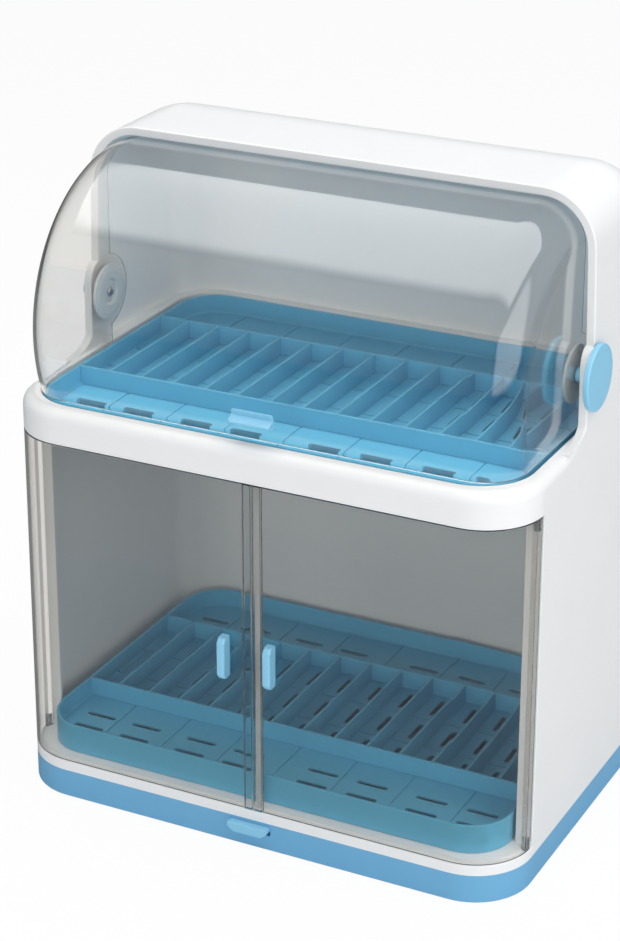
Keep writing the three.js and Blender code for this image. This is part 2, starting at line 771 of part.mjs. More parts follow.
// Light-blue upright grip on a door
function makeDoorHandle(name, side) {
  const round = doorHandleRound;
  const top = doorHandleLevel + doorHandleLength;
  const outline = new THREE.Shape();
  outline.moveTo(-seatGap, doorHandleLevel);
  outline.lineTo(-seatGap, top);
  outline.lineTo(round - doorHandleReach, top);
  outline.absarc(round - doorHandleReach, top - round, round, quarterTurn, Math.PI, false);
  outline.lineTo(-doorHandleReach, doorHandleLevel + round);
  outline.absarc(round - doorHandleReach, doorHandleLevel + round, round, Math.PI, -quarterTurn, false);
  const middle = side * doorHandleOffset;
  const half = doorHandleWidth / 2;
  return piece(name, prismAcross(outline, middle - half, middle + half, slotSteps), gripBlue);
}

function makeDoorPin(name, side, low) {
  return piece(name, post(pinRadius, 0, 0, 0, pinLength), steel, [side * barrelSide, barrelBack, low]);
}

// Outline of a rack tray, moved in by an inset
function trayPlan(inset) {
  return roundedPlan(
    trayHalfWidth - inset,
    trayFront + inset,
    trayBack - inset,
    trayCornerRadius - inset,
    trayCornerRadius - inset,
  );
}

// Rack tray: a floor with drain slots all over it, raised on a foot round its edge
function makeRackTray(name, level) {
  const slotted = trayPlan(0);
  for (const points of [...cellSlots(), ...stripSlots()]) {
    slotted.holes.push(new THREE.Path(points));
  }
  const tray = prismUp(slotted, 0, trayFloorTop)
    .subtract(prismUp(trayPlan(trayWall), -cutOverrun, trayFloorTop - trayFloor));
  return piece(name, tray, trayBlue, [0, 0, level]);
}

// Wall that stands on a rack tray's edge
function makeTrayWall(name, level) {
  const inner = prismUp(trayPlan(trayWall), trayFloorTop, trayHeight + cutOverrun, trayWallSteps);
  const outer = prismUp(trayPlan(0), trayFloorTop + seatGap, trayHeight, trayWallSteps);
  return piece(name, outer.subtract(inner), trayBlue, [0, 0, level]);
}

// Plate comb that stands in a tray: two rails across with thin dividers between them
function makePlateComb(name, level) {
  const railHalf = trayHalfWidth - trayWall - seatGap;
  const low = trayFloorTop + seatGap;
  const rail = (front) => block([-railHalf, front, low], [railHalf, front + railThickness, trayHeight]);
  let comb = rail(railFront).add(rail(railBack - railThickness));
  for (let i = 1; i < cellCount; i += 1) {
    const x = (i - cellCount / 2) * cellPitch;
    const half = dividerThickness / 2;
    comb = comb.add(block(
      [x - half, railFront + railThickness / 2, low],
      [x + half, railBack - railThickness / 2, trayHeight],
    ));
  }
  return piece(name, comb, trayBlue, [0, 0, level]);
}

// Outlines of the drain slots in the cells, a row of them along each cell
function cellSlots() {
  const middle = (railFront + railBack) / 2;
  const slots = [];
  for (let cell = 0; cell < cellCount; cell += 1) {
    const x = (cell - (cellCount - 1) / 2) * cellPitch;
    for (let row = 0; row < cellSlotRows; row += 1) {
      const y = middle + (row - (cellSlotRows - 1) / 2) * cellSlotPitch;
      slots.push(slotPoints(x, y, cellSlotLength, cellSlotWidth, true));
    }
  }
  return slots;
}

// Outlines of the drain slots in the front and rear strips, two rows in each
function stripSlots() {
  const slots = [];
  const rows = [
    ...frontRowShares.map((share) => railFront - share * frontStripDepth),
    ...rearRowShares.map((share) => railBack + share * rearStripDepth),
  ];
  for (const y of rows) {
    for (const share of stripSlotShares) {
      for (const side of [-1, 1]) {
        slots.push(slotPoints(side * share * trayHalfWidth, y, stripSlotLength, stripSlotWidth, false));
      }
    }
  }
  return slots;
}

const cabinet = new THREE.Group();
cabinet.add(makeBaseTray(), makeDrainSpout(), makeCabinetFloor());
cabinet.add(makeLowerSide('lower_side_left', -1), makeLowerSide('lower_side_right', 1));
cabinet.add(makeLowerBack(), makeMiddleShelf(), makeHood());
cabinet.add(makeLid(), makeLidHandle());
cabinet.add(makeSpindle('pivot_axle_left', -1, spindleRadius));
cabinet.add(makeSpindle('pivot_knob_right', 1, knobRadius));
for (const [word, side] of [['left', -1], ['right', 1]]) {
  cabinet.add(makeBush(`pivot_bush_${word}`, side));
  cabinet.add(makeScrew(`pivot_screw_${word}`, side));
  cabinet.add(makeDoor(`door_${word}`, side));
  cabinet.add(makeDoorHandle(`door_handle_${word}`, side));
  cabinet.add(makeDoorPin(`door_pin_${word}_bottom`, side, flangeTop - pinBite));
  cabinet.add(makeDoorPin(`door_pin_${word}_top`, side, bandBottom - pinLength + pinBite));
}
for (const [word, level] of [['lower', platformTop + seatGap], ['upper', shelfTop + seatGap]]) {
  cabinet.add(makeRackTray(`${word}_rack_tray`, level));
  cabinet.add(makeTrayWall(`${word}_tray_wall`, level));
  cabinet.add(makePlateComb(`${word}_plate_comb`, level));
}
cabinet.position.y = -originBack;

const rack = new THREE.Group();
rack.add(cabinet);

export default rack;
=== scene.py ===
import math

import bmesh
import bpy
import numpy as np
from mathutils import Matrix, Vector


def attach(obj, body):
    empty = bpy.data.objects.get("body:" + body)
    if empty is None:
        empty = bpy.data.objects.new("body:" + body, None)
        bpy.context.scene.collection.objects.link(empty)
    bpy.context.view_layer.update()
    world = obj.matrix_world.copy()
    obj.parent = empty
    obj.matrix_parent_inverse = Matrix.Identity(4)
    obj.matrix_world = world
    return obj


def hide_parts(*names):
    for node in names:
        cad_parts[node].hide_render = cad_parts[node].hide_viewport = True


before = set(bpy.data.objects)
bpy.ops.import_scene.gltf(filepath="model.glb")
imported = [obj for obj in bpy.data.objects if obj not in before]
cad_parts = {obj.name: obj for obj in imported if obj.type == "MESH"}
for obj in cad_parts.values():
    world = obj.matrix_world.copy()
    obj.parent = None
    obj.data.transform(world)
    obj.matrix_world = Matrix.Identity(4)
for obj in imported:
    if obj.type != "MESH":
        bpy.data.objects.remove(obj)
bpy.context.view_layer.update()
print("frame loaded")

# Two-tier covered plate rack. Shapes are worked out in millimetres, with y = 0 on the doors'
# outer face and z = 0 on the ground; toFrame moves them into the frame.
cabinet = {
    "halfWidth": 225.0,
    "depth": 315.0,
    "frontRadius": 50.0,
    "rearRadius": 44.0,
    "wall": 3.0,
    "frontToMiddle": 152.0,
}


# ---------- surfaces ----------
def toFrame(points):
    shift = np.array([0.0, cabinet["frontToMiddle"], 0.0])
    return (np.asarray(points, float).reshape(-1, 3) - shift) / 1000.0


def gridPart(grid, closedRows=False, closedCols=False):
    # quads between neighbouring rows and columns of a grid of points
    rows, cols = grid.shape[:2]
    i, j = np.meshgrid(
        np.arange(rows if closedRows else rows - 1),
        np.arange(cols if closedCols else cols - 1),
        indexing="ij",
    )
    iNext, jNext = (i + 1) % rows, (j + 1) % cols
    corners = [i * cols + j, i * cols + jNext, iNext * cols + jNext, iNext * cols + j]
    return grid.reshape(-1, 3), np.stack(corners, axis=-1).reshape(-1, 4)


def capPart(loop):
    # one flat face over a closed loop of points
    return loop.reshape(-1, 3), np.arange(len(loop)).reshape(1, -1)


def sweepParts(grid):
    # tube through the rows of a grid, with a flat face at either end
    return [gridPart(grid, closedCols=True), capPart(grid[0][::-1]), capPart(grid[-1])]


def xyz(x, y, z):
    # each may be a number, a row or a grid
    return np.stack(np.broadcast_arrays(x, y, z), axis=-1)


def quarter(steps):
    return np.linspace(0.0, math.pi / 2, steps)


def circleOutline(x, y, radius, steps):
    turn = np.linspace(0.0, 2 * math.pi, steps, endpoint=False)
    return np.column_stack([x + radius * np.cos(turn), y + radius * np.sin(turn)])


def roundedLine(corners, closed=False, steps=6):
    # polyline through (a, b, radius) corners, each replaced by an arc tangent to both its legs
    places = np.array([c[:2] for c in corners], float)
    count = len(corners)
    line = []
    for k, here in enumerate(places):
        radius = corners[k][2]
        if radius <= 0 or (not closed and k in (0, count - 1)):
            line.append(here[None])
            continue
        back = places[k - 1] - here
        on = places[(k + 1) % count] - here
        back, on = back / np.linalg.norm(back), on / np.linalg.norm(on)
        half = math.acos(np.clip(back @ on, -1.0, 1.0)) / 2.0
        middle = here + (back + on) / np.linalg.norm(back + on) * radius / math.sin(half)
        start = here + back * radius / math.tan(half) - middle
        end = here + on * radius / math.tan(half) - middle
        turn = math.pi - 2.0 * half
        t = np.linspace(0.0, 1.0, steps + 1)[:, None]
        line.append(middle + (start * np.sin((1 - t) * turn) + end * np.sin(t * turn)) / math.sin(turn))
    return np.concatenate(line)


def planStations(half, front, back, frontRadius, rearRadius, arcSteps=16, sideSteps=14):
    # points and outward normals round a rectangle with rounded corners, seen from above
    corners = [
        (half - frontRadius, front + frontRadius, frontRadius, -90.0),
        (half - rearRadius, back - rearRadius, rearRadius, 0.0),
        (rearRadius - half, back - rearRadius, rearRadius, 90.0),
        (frontRadius - half, front + frontRadius, frontRadius, 180.0),
    ]
    points, normals = [], []
    for k, (x, y, radius, start) in enumerate(corners):
        turn = np.radians(np.linspace(start, start + 90.0, arcSteps + 1))
        outward = np.stack([np.cos(turn), np.sin(turn)], axis=1)
        arc = np.array([x, y]) + radius * outward
        nextX, nextY, nextRadius = corners[(k + 1) % 4][:3]
        nextPoint = np.array([nextX, nextY]) + nextRadius * outward[-1]
        share = np.linspace(0.0, 1.0, sideSteps + 2)[1:-1, None]
        points += [arc, arc[-1] * (1 - share) + nextPoint * share]
        normals += [outward, np.repeat(outward[-1:], sideSteps, axis=0)]
    return np.concatenate(points), np.concatenate(normals)


def cabinetStations():
    c = cabinet
    return planStations(c["halfWidth"], 0.0, c["depth"], c["frontRadius"], c["rearRadius"])


def ring(stations, inset, level):
    # the plan outline moved in by inset, at a level; both may change from station to station
    points, normals = stations
    flat = points - normals * np.broadcast_to(inset, len(points))[:, None]
    return np.column_stack([flat, np.broadcast_to(level, len(points))])


def cappedSweep(stations, profile):
    # a profile of (inset, level) pairs carried round the plan outline
    return sweepParts(np.stack([ring(stations, inset, level) for inset, level in profile]))


def quarterRings(stations, inset, level, height, steps, backwards=False):
    # quarter round from the outline itself, height past the level, to the level, moved in by inset
    rows = [ring(stations, inset * (1 - math.cos(t)), level + height * (1 - math.sin(t))) for t in quarter(steps)]
    return rows[::-1] if backwards else rows


def prismParts(outline, low, high, edge=0.35, steps=3):
    # closed outline carried upwards, its two end edges rounded by a small radius
    outline = np.asarray(outline, float)
    along = np.roll(outline, -1, axis=0) - np.roll(outline, 1, axis=0)
    along /= np.maximum(np.linalg.norm(along, axis=1), 1e-9)[:, None]
    area = np.sum(outline[:, 0] * np.roll(outline[:, 1], -1) - np.roll(outline[:, 0], -1) * outline[:, 1])
    inward = np.column_stack([-along[:, 1], along[:, 0]]) * (1.0 if area > 0 else -1.0)
    turn = quarter(steps + 1)
    insets = np.concatenate([edge * (1 - np.sin(turn)), edge * (1 - np.cos(turn))])
    levels = np.concatenate([low + edge * (1 - np.cos(turn)), high - edge * (1 - np.sin(turn))])
    flat = outline[None] + inward[None] * insets[:, None, None]
    level = np.broadcast_to(levels[:, None, None], flat.shape[:2] + (1,))
    return sweepParts(np.concatenate([flat, level], axis=2))


def slotOutline(x, y, length, width, alongY):
    # long hole with round ends
    turn = np.linspace(-math.pi / 2, math.pi / 2, 6)
    reach = length / 2 - width / 2
    end = np.stack([reach + width / 2 * np.cos(turn), width / 2 * np.sin(turn)], axis=1)
    loop = np.concatenate([end, -end])
    if alongY:
        loop = np.column_stack([-loop[:, 1], loop[:, 0]])
    return loop + np.array([x, y])


def boxParts(low, high):
    (x0, y0, z0), (x1, y1, z1) = low, high
    loop = np.array([[x0, y0], [x1, y0], [x1, y1], [x0, y1]])
    return sweepParts(np.stack([np.column_stack([loop, np.full(4, z)]) for z in (z0, z1)]))


def latheParts(profile, centre, side, steps=96):
    # (radius, distance along X) profile turned about an axis along X through centre
    profile = np.asarray(profile, float)
    turn = np.linspace(0.0, 2 * math.pi, steps, endpoint=False)
    radius, along = profile[:, 0][:, None], profile[:, 1][:, None]
    return sweepParts(xyz(side * along, centre[0] + radius * np.cos(turn), centre[1] + radius * np.sin(turn)))


mergeDistance = 2e-5


def meshObject(name, parts):
    # one mesh from its parts: doubles merged, faces turned outwards
    points, faces, start = [], [], 0
    for places, quads in parts:
        points.append(toFrame(places))
        faces += (quads + start).tolist()
        start += len(places.reshape(-1, 3))
    mesh = bpy.data.meshes.new(name)
    mesh.from_pydata(np.concatenate(points), [], faces)
    bm = bmesh.new()
    bm.from_mesh(mesh)
    bmesh.ops.remove_doubles(bm, verts=bm.verts, dist=mergeDistance)
    bmesh.ops.dissolve_degenerate(bm, dist=1e-7, edges=bm.edges)
    bmesh.ops.recalc_face_normals(bm, faces=bm.faces)
    bm.to_mesh(mesh)
    bm.free()
    piece = bpy.data.objects.new(name, mesh)
    bpy.context.scene.collection.objects.link(piece)
    return piece


def fixModifiers(piece):
    # the modifiers' result becomes the mesh
    view = bpy.context.evaluated_depsgraph_get()
    mesh = bpy.data.meshes.new_from_object(piece.evaluated_get(view))
    piece.modifiers.clear()
    piece.data = mesh


def combine(piece, parts, operation):
    other = meshObject(piece.name + "_tool", parts)
    change = piece.modifiers.new("combine", "BOOLEAN")
    change.operation = operation
    change.solver = "EXACT"
    change.object = other
    bpy.context.view_layer.update()
    fixModifiers(piece)
    bpy.data.objects.remove(other)


def finishPiece(piece, material, body, nodes, bevelMm=0.0):
    # smooth shading with crisp or bevelled edges, then its body, the solids it stands for and its slot
    piece.data.materials.clear()
    piece.data.materials.append(material)
    piece.data.shade_smooth()
    if bevelMm > 0:
        bevel = piece.modifiers.new("edges", "BEVEL")
        bevel.width = bevelMm / 1000.0
        bevel.segments = 2
        bevel.limit_method = "ANGLE"
        bevel.angle_limit = math.radians(50.0)
    else:
        piece.data.set_sharp_from_angle(angle=math.radians(34.0))
    normals = piece.modifiers.new("evenNormals", "WEIGHTED_NORMAL")
    normals.keep_sharp = True
    normals.weight = 100
    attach(piece, body)
    if nodes:
        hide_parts(*nodes)


# ---------- materials ----------
def linearColour(code):
    # sRGB hex to linear RGBA
    code = code.lstrip("#")
    parts = [int(code[k:k + 2], 16) / 255.0 for k in (0, 2, 4)]
    return [p / 12.92 if p <= 0.04045 else ((p + 0.055) / 1.055) ** 2.4 for p in parts] + [1.0]


def addNode(tree, kind, settings=None, inputs=None):
    node = tree.nodes.new("ShaderNode" + kind)
    for key, value in (settings or {}).items():
        setattr(node, key, value)
    for key, value in (inputs or {}).items():
        if isinstance(value, bpy.types.NodeSocket):
            tree.links.new(value, node.inputs[key])
        else:
            node.inputs[key].default_value = value
    return node


def newMaterial(name):
    material = bpy.data.materials.new(name)
    material.use_nodes = True
    material.node_tree.nodes.clear()
    return material, material.node_tree


def mathNode(tree, operation, first, second):
    return addNode(tree, "Math", {"operation": operation}, {0: first, 1: second}).outputs[0]


def mixShader(tree, share, first, second):
    return addNode(tree, "MixShader", inputs={0: share, 1: first, 2: second}).outputs[0]


def noise(tree, sizeMm, detail, roughness):
    # cloudy pattern with features about sizeMm across
    place = addNode(tree, "TexCoord").outputs["Object"]
    return addNode(tree, "TexNoise", inputs={
        "Vector": place, "Scale": 1000.0 / sizeMm, "Detail": detail, "Roughness": roughness}).outputs["Fac"]


def blend(tree, factor, first, second):
    return addNode(tree, "Mix", {"data_type": "RGBA"}, {
        "Factor": factor, 6: linearColour(first), 7: linearColour(second)}).outputs[2]


def spreadOver(tree, pattern, low, high, start=0.3, end=0.7):
    # a pattern's values between start and end carried over to low and high
    return addNode(tree, "MapRange", inputs={
        "Value": pattern, "From Min": start, "From Max": end, "To Min": low, "To Max": high}).outputs["Result"]


def mouldWave(tree, waveMm, depthMm):
    # the slow wave that a polished mould leaves in a plastic wall
    return addNode(tree, "Bump", inputs={
        "Height": noise(tree, waveMm, 1.0, 0.4), "Strength": 1.0, "Distance": depthMm / 1000.0}).outputs["Normal"]


def mouldedPlastic(name, colour, deeper, roughness, ior, waveMm=28.0, waveDepthMm=0.012):
    # injection-moulded plastic: an even colour that deepens by a hair where the melt flowed, a gloss
    # broken by the faint wave of the mould wall, and slightly duller patches from handling
    material, tree = newMaterial(name)
    tone = blend(tree, noise(tree, 60.0, 3.0, 0.5), colour, deeper)
    gloss = spreadOver(tree, noise(tree, 14.0, 2.0, 0.55), roughness * 0.94, roughness * 1.07)
    shader = addNode(tree, "BsdfPrincipled", inputs={
        "Base Color": tone, "Roughness": gloss, "IOR": ior,
        "Normal": mouldWave(tree, waveMm, waveDepthMm)})
    addNode(tree, "OutputMaterial", inputs={"Surface": shader.outputs[0]})
    return material


def clearPlastic(name, tint, shade, body, density, roughness, ior=1.57, waveMm=55.0, waveDepthMm=0.02):
    # clear sheet moulded in one shot: it shows what is behind it, bends light at its rims, carries
    # crisp reflections with a slow moulding wave, darkens where it is seen edge on, and lets the
    # lamps through
    material, tree = newMaterial(name)
    gloss = spreadOver(tree, noise(tree, 22.0, 2.0, 0.5), roughness * 0.6, roughness * 1.4)
    shader = addNode(tree, "BsdfPrincipled", inputs={
        "Base Color": linearColour(tint), "Roughness": gloss, "IOR": ior, "Transmission Weight": 1.0,
        "Normal": mouldWave(tree, waveMm, waveDepthMm)})
    lamps = addNode(tree, "BsdfTransparent", inputs={"Color": linearColour(shade)})
    shadow = addNode(tree, "LightPath").outputs["Is Shadow Ray"]
    mix = mixShader(tree, shadow, shader.outputs[0], lamps.outputs[0])
    grey = addNode(tree, "VolumeAbsorption", inputs={"Color": linearColour(body), "Density": density})
    addNode(tree, "OutputMaterial", inputs={"Surface": mix, "Volume": grey.outputs[0]})
    return material


def paintedReflectionPlastic(name, colour, deeper):
    # milky pale material that scatters the light: a painted reflection, standing in for the pale line that the clear
    # door's meeting rib shows by reflecting light inside itself
    material, tree = newMaterial(name)
    tone = blend(tree, noise(tree, 9.0, 2.0, 0.5), colour, deeper)
    shader = addNode(tree, "BsdfPrincipled", inputs={
        "Base Color": tone, "Roughness": 0.45, "IOR": 1.52, "Transmission Weight": 0.35})
    addNode(tree, "OutputMaterial", inputs={"Surface": shader.outputs[0]})
    return material


def platedSteel(name, colour):
    # zinc-plated steel: bright grey metal whose fine grain varies its gloss from point to point
    material, tree = newMaterial(name)
    gloss = spreadOver(tree, noise(tree, 0.7, 2.0, 0.6), 0.18, 0.36, 0.0, 1.0)
    shader = addNode(tree, "BsdfPrincipled", inputs={
        "Base Color": linearColour(colour), "Metallic": 1.0, "Roughness": gloss})
    addNode(tree, "OutputMaterial", inputs={"Surface": shader.outputs[0]})
    return material


whiteAbs = mouldedPlastic("whiteMouldedAbs", "#F1F2F3", "#ECEEEF", 0.30, 1.54)
baseBlue = mouldedPlastic("baseBluePolypropylene", "#73B3DB", "#6CADD6", 0.30, 1.49)
trayBlue = mouldedPlastic("trayBluePolypropylene", "#66BBDE", "#5EB2D7", 0.34, 1.49)
gripBlue = mouldedPlastic("gripBlueAbs", "#8FCEEC", "#88C8E8", 0.30, 1.54)
bushGrey = mouldedPlastic("bushGreyNylon", "#C6CCCF", "#BEC5C8", 0.30, 1.53)
clearLid = clearPlastic("clearSanLid", "#FFFEFC", "#FDFCF9", "#7C7A76", 12.0, 0.03)
clearDoor = clearPlastic("clearSanDoor", "#FFFEFC", "#FEFDFA", "#7C7A76", 18.0, 0.03)
# pale material of the painted reflection on the right door's meeting rib
paintedReflection = paintedReflectionPlastic("paintedReflectionPvc", "#F1F4F4", "#E2E7E8")
steel = platedSteel("zincPlatedSteel", "#C4C8CC")
print("materials ready")


# ---------- base tray and its drain ----------
base = {
    "height": 24.8,
    "floor": 2.5,
    "footRound": 1.6,
    "rimRound": 0.5,
    "innerRound": 4.0,
    "capInset": 24.0,
    "spoutHalf": 18.3,
    "spoutLow": 13.5,
    "spoutHigh": 22.1,
    "spoutReach": (-3.0, 6.0),
}


def makeBaseTray():
    # wall profile carried round the cabinet's outline, with a flat floor
    wall, top, floor = cabinet["wall"], base["height"], base["floor"]
    profile = roundedLine([
        (base["capInset"], 0.0, 0.0),
        (0.0, 0.0, base["footRound"]),
        (0.0, top, base["rimRound"]),
        (wall, top, base["rimRound"]),
        (wall, floor, base["innerRound"]),
        (base["capInset"], floor, 0.0),
    ])
    piece = meshObject("baseTray", cappedSweep(cabinetStations(), profile))
    half = base["spoutHalf"]
    front, back = base["spoutReach"]
    combine(piece, boxParts((-half, front, base["spoutLow"]), (half, back, base["spoutHigh"])), "DIFFERENCE")
    finishPiece(piece, baseBlue, "cabinet", ["base_tray"])


spout = {
    "half": 18.0,
    "low": 13.8,
    "high": 21.8,
    "front": -7.0,
    "back": 39.0,
    "chamfer": (5.46, 4.2),
    "cornerRound": 1.4,
    "edgeRound": 0.8,
    "wall": 1.8,
    "troughFront": 2.2,
}


def makeDrainSpout():
    # scoop with chamfered lower corners: an outline in X and Z carried back, hollow from above
    s = spout
    half, low, high, wall = s["half"], s["low"], s["high"], s["wall"]
    across, up = s["chamfer"]
    soft, edge = s["cornerRound"], s["edgeRound"]
    outline = roundedLine([
        (-half, high, edge), (-half, low + up, soft), (across - half, low, soft),
        (half - across, low, soft), (half, low + up, soft), (half, high, edge),
    ], closed=True, steps=4)
    parts = []
    for places, faces in prismParts(outline, s["front"], s["back"], edge=edge):
        places = places.reshape(-1, 3)
        parts.append((places[:, [0, 2, 1]], faces))  # the outline's second axis is the height
    piece = meshObject("drainSpout", parts)
    past = 4.0
    trough = boxParts((wall - half, s["troughFront"], low + wall), (half - wall, s["back"] + past, high + past))
    combine(piece, trough, "DIFFERENCE")
    finishPiece(piece, gripBlue, "drain", ["drain_spout"])


makeBaseTray()
makeDrainSpout()
print("base and drain made")


# ---------- cabinet floor ----------
hinge = {"x": 221.0, "y": 46.0, "barrel": 4.0, "room": 4.7}
trayPlan = {"half": 207.4, "front": 14.6, "back": 301.6, "corner": 36.0}
floorPlate = {
    "low": 24.8,
    "flangeTop": 33.8,
    "platformTop": 35.5,
    "platformInset": 6.0,
    "under": 30.3,
    "footInset": 3.0,
    "frontRound": 1.5,
    "sideRound": 0.05,
    "frontFade": (50.0, 56.0),
    "ledge": 20.0,
    "ledgeRound": 1.2,
}


def frontShare(stations, start, end):
    # 1 round the front, fading smoothly to 0 between two distances back along the sides
    share = np.clip((stations[0][:, 1] - start) / (end - start), 0.0, 1.0)
    return 1.0 - share * share * (3.0 - 2.0 * share)


def makeCabinetFloor():
    # flange and platform carried round the outline, open to the drip base inside the tray's ledge;
    # the flange's edge is round only where doors meet it
    f, tray = floorPlate, trayPlan
    stations = cabinetStations()
    share = frontShare(stations, *f["frontFade"])
    edge = f["sideRound"] + (f["frontRound"] - f["sideRound"]) * share
    corner = tray["corner"] - f["ledge"]
    opening = planStations(
        tray["half"] - f["ledge"], tray["front"] + f["ledge"], tray["back"] - f["ledge"], corner, corner)
    low, under, flange, platform = f["low"], f["under"], f["flangeTop"], f["platformTop"]
    foot, step = f["footInset"], f["platformInset"]
    rows = [ring(opening, 0.0, under + 0.6), ring(opening, -0.6, under)]
    rows += [ring(stations, inset, level) for inset, level in (
        (foot + 1.0, under), (foot, under - 1.0), (foot, low), (0.0, low))]
    rows += quarterRings(stations, edge, flange, -edge, 6)
    rows += [ring(stations, inset, level) for inset, level in (
        (step - 0.8, flange), (step, flange + 0.6), (step + 0.1, platform - 0.5), (step + 0.7, platform))]
    rows += quarterRings(opening, -f["ledgeRound"], platform, -f["ledgeRound"], 6, backwards=True)
    piece = meshObject("cabinetFloor", [gridPart(np.stack(rows), closedRows=True, closedCols=True)])
    cutters = []
    for side in (-1, 1):
        room = circleOutline(side * hinge["x"], hinge["y"], hinge["room"], 32)
        cutters += prismParts(room, flange + 0.02, platform + 2.0, edge=0.01, steps=1)
    combine(piece, cutters, "DIFFERENCE")
    finishPiece(piece, whiteAbs, "cabinet", ["cabinet_floor"])


makeCabinetFloor()
print("cabinet floor made")


# ---------- lower walls ----------
lowerWalls = {
    "low": 33.8,
    "high": 321.05,
    "front": 50.9,
    "return": 15.0,
    "returnThickness": 3.0,
    "straightFrom": 100.0,
    "rounds": (0.6, 0.8, 1.5),
}


def makeLowerShell():
    # side, rounded rear corner, back, rounded corner and side in one outline, with a return at each door
    c, w = cabinet, lowerWalls
    half, depth, radius, wall = c["halfWidth"], c["depth"], c["rearRadius"], c["wall"]
    front, thick, start = w["front"], w["returnThickness"], w["straightFrom"]
    edge, outside, inside = w["rounds"]
    inner, inDepth = half - wall, depth - wall
    # from the inner side round the return and along the outside to the middle of the back
    fold = roundedLine([
        (inner, start, 0.0), (inner, front + thick, inside), (half - w["return"], front + thick, edge),
        (half - w["return"], front, edge), (half, front, outside), (half, start, 0.0)], steps=4)
    outerArc = roundedLine([(half, start, 0.0), (half, depth, radius), (0.0, depth, 0.0)], steps=18)
    innerArc = roundedLine([(inner, start, 0.0), (inner, inDepth, radius - wall), (0.0, inDepth, 0.0)], steps=18)
    halfOutline = np.concatenate([fold, outerArc[1:]])
    mirrored = np.array([-1.0, 1.0])
    outline = np.concatenate([
        halfOutline, halfOutline[::-1][1:] * mirrored, innerArc[1:] * mirrored, innerArc[1:-1][::-1]])
    piece = meshObject("lowerShell", prismParts(outline, w["low"], w["high"], edge=0.02, steps=1))
    covered = ["lower_side_left", "lower_side_right", "lower_back_panel"]
    finishPiece(piece, whiteAbs, "cabinet", covered)


makeLowerShell()
print("lower walls made")


# ---------- middle shelf ----------
shelf = {
    "low": 321.0,
    "rim": 351.0,
    "rimInset": 12.4,
    "wellFrontRadius": 45.0,
    "floor": 325.5,
    "under": 322.5,
    "lip": 10.0,
    "wall": 3.0,
    "sideRound": 0.05,
    "fade": (84.0, 128.0),
    "lowerRound": 0.9,
    "lowerFade": (50.0, 56.0),
    "rimRound": 1.2,
    "wellRound": 3.0,
    "capInset": 26.0,
    "holeRadius": 5.0,
    "holePitch": 62.0,
    "holeRows": (73.5, 241.5),
}


def makeMiddleShelf():
    # band, rim, well and hollow underside in one profile; the front lip is a quarter round that
    # fades out along the sides, where the hood stands flush
    c, s = cabinet, shelf
    outer = cabinetStations()
    inset, wall = s["rimInset"], s["wall"]
    well, web = [planStations(
        c["halfWidth"] - inset + more, inset - more, c["depth"] - inset + more,
        s["wellFrontRadius"] + more, c["rearRadius"] - inset + more) for more in (0.0, wall)]
    lip = s["sideRound"] + (s["lip"] - s["sideRound"]) * frontShare(outer, *s["fade"])
    foot = s["sideRound"] + (s["lowerRound"] - s["sideRound"]) * frontShare(outer, *s["lowerFade"])
    low, rim, floor = s["low"], s["rim"], s["floor"]
    rows = [ring(well, s["capInset"], s["under"]), ring(well, 0.5, s["under"]), ring(well, 0.0, low)]
    rows += [ring(web, 0.0, low), ring(web, 0.0, rim - wall), ring(outer, wall, rim - wall - 0.5 - lip * 0.3)]
    rows += [ring(outer, wall, low)]
    rows += quarterRings(outer, foot, low, foot, 8, backwards=True)
    rows += [ring(outer, 0.0, rim - lip - 6.0)]
    rows += quarterRings(outer, lip, rim, -lip, 8)
    rows += quarterRings(well, -s["rimRound"], rim, -s["rimRound"], 8, backwards=True)
    rows += quarterRings(well, s["wellRound"], floor, s["wellRound"], 8)
    rows += [ring(well, s["capInset"], floor)]
    piece = meshObject("middleShelf", sweepParts(np.stack(rows)))
    cutters = []
    for y in s["holeRows"]:
        for place in (-2, -1, 0, 1, 2):
            hole = circleOutline(place * s["holePitch"], y, s["holeRadius"], 28)
            cutters += prismParts(hole, low - 2.0, floor + 4.0, edge=0.01, steps=1)
    combine(piece, cutters, "DIFFERENCE")
    finishPiece(piece, whiteAbs, "cabinet", ["middle_shelf"])


makeMiddleShelf()
print("middle shelf made")


# ---------- hood ----------
hood = {
    "low": 351.0,
    "top": 545.0,
    "front": 144.0,
    "rollRadius": 100.0,
    "wall": 3.0,
    "lipWidth": 7.2,
    "lipBack": 150.0,
    "lipRound": 0.8,
    "edgeRound": 1.3,
    "taper": 4.6,
    "ear": 132.0,
    "earTop": (407.0, 424.0),
    "earFoot": (98.0, 364.0),
}


def roundedSection(cornerX, cornerRadius, cornerReach, cornerCount, flatCount):
    # section across the width with two round corners: x and the distance from the axis it turns about
    turn = quarter(cornerCount)
    leftX = -cornerX - cornerRadius * np.cos(turn)
    reach = cornerReach + cornerRadius * np.sin(turn)
    flatX = np.linspace(-cornerX, cornerX, flatCount + 2)[1:-1]
    x = np.concatenate([leftX, flatX, -leftX[::-1]])
    return x, np.concatenate([reach, np.full(flatCount, reach[-1]), reach[::-1]])


def hoodTaper(points):
    # the hood narrows with the square of the height
    share = (points[..., 2] - hood["low"]) / (hood["top"] - hood["low"])
    scale = 1.0 - hood["taper"] / cabinet["halfWidth"] * share * share
    return points * xyz(scale, 1.0, 1.0)


def earFront(level):
    # how far forward the side wall reaches at a level: a foot that flows out of the band, a straight
    # ear round the pivot and a rounded shoulder back to the hood's front edge
    h = hood
    lowShoulder, highShoulder = h["earTop"]
    footFront, footHigh = h["earFoot"]
    rise = np.clip((level - lowShoulder) / (highShoulder - lowShoulder), 0.0, 1.0)
    shoulder = h["front"] - (h["front"] - h["ear"]) * np.sqrt(1.0 - rise * rise)
    fall = np.clip((footHigh - level) / (footHigh - h["low"]), 0.0, 1.0)
    foot = h["ear"] - (h["ear"] - footFront) * (1.0 - np.sqrt(1.0 - fall * fall))
    return np.where(level > footHigh, np.where(level > lowShoulder, shoulder, h["ear"]), foot)


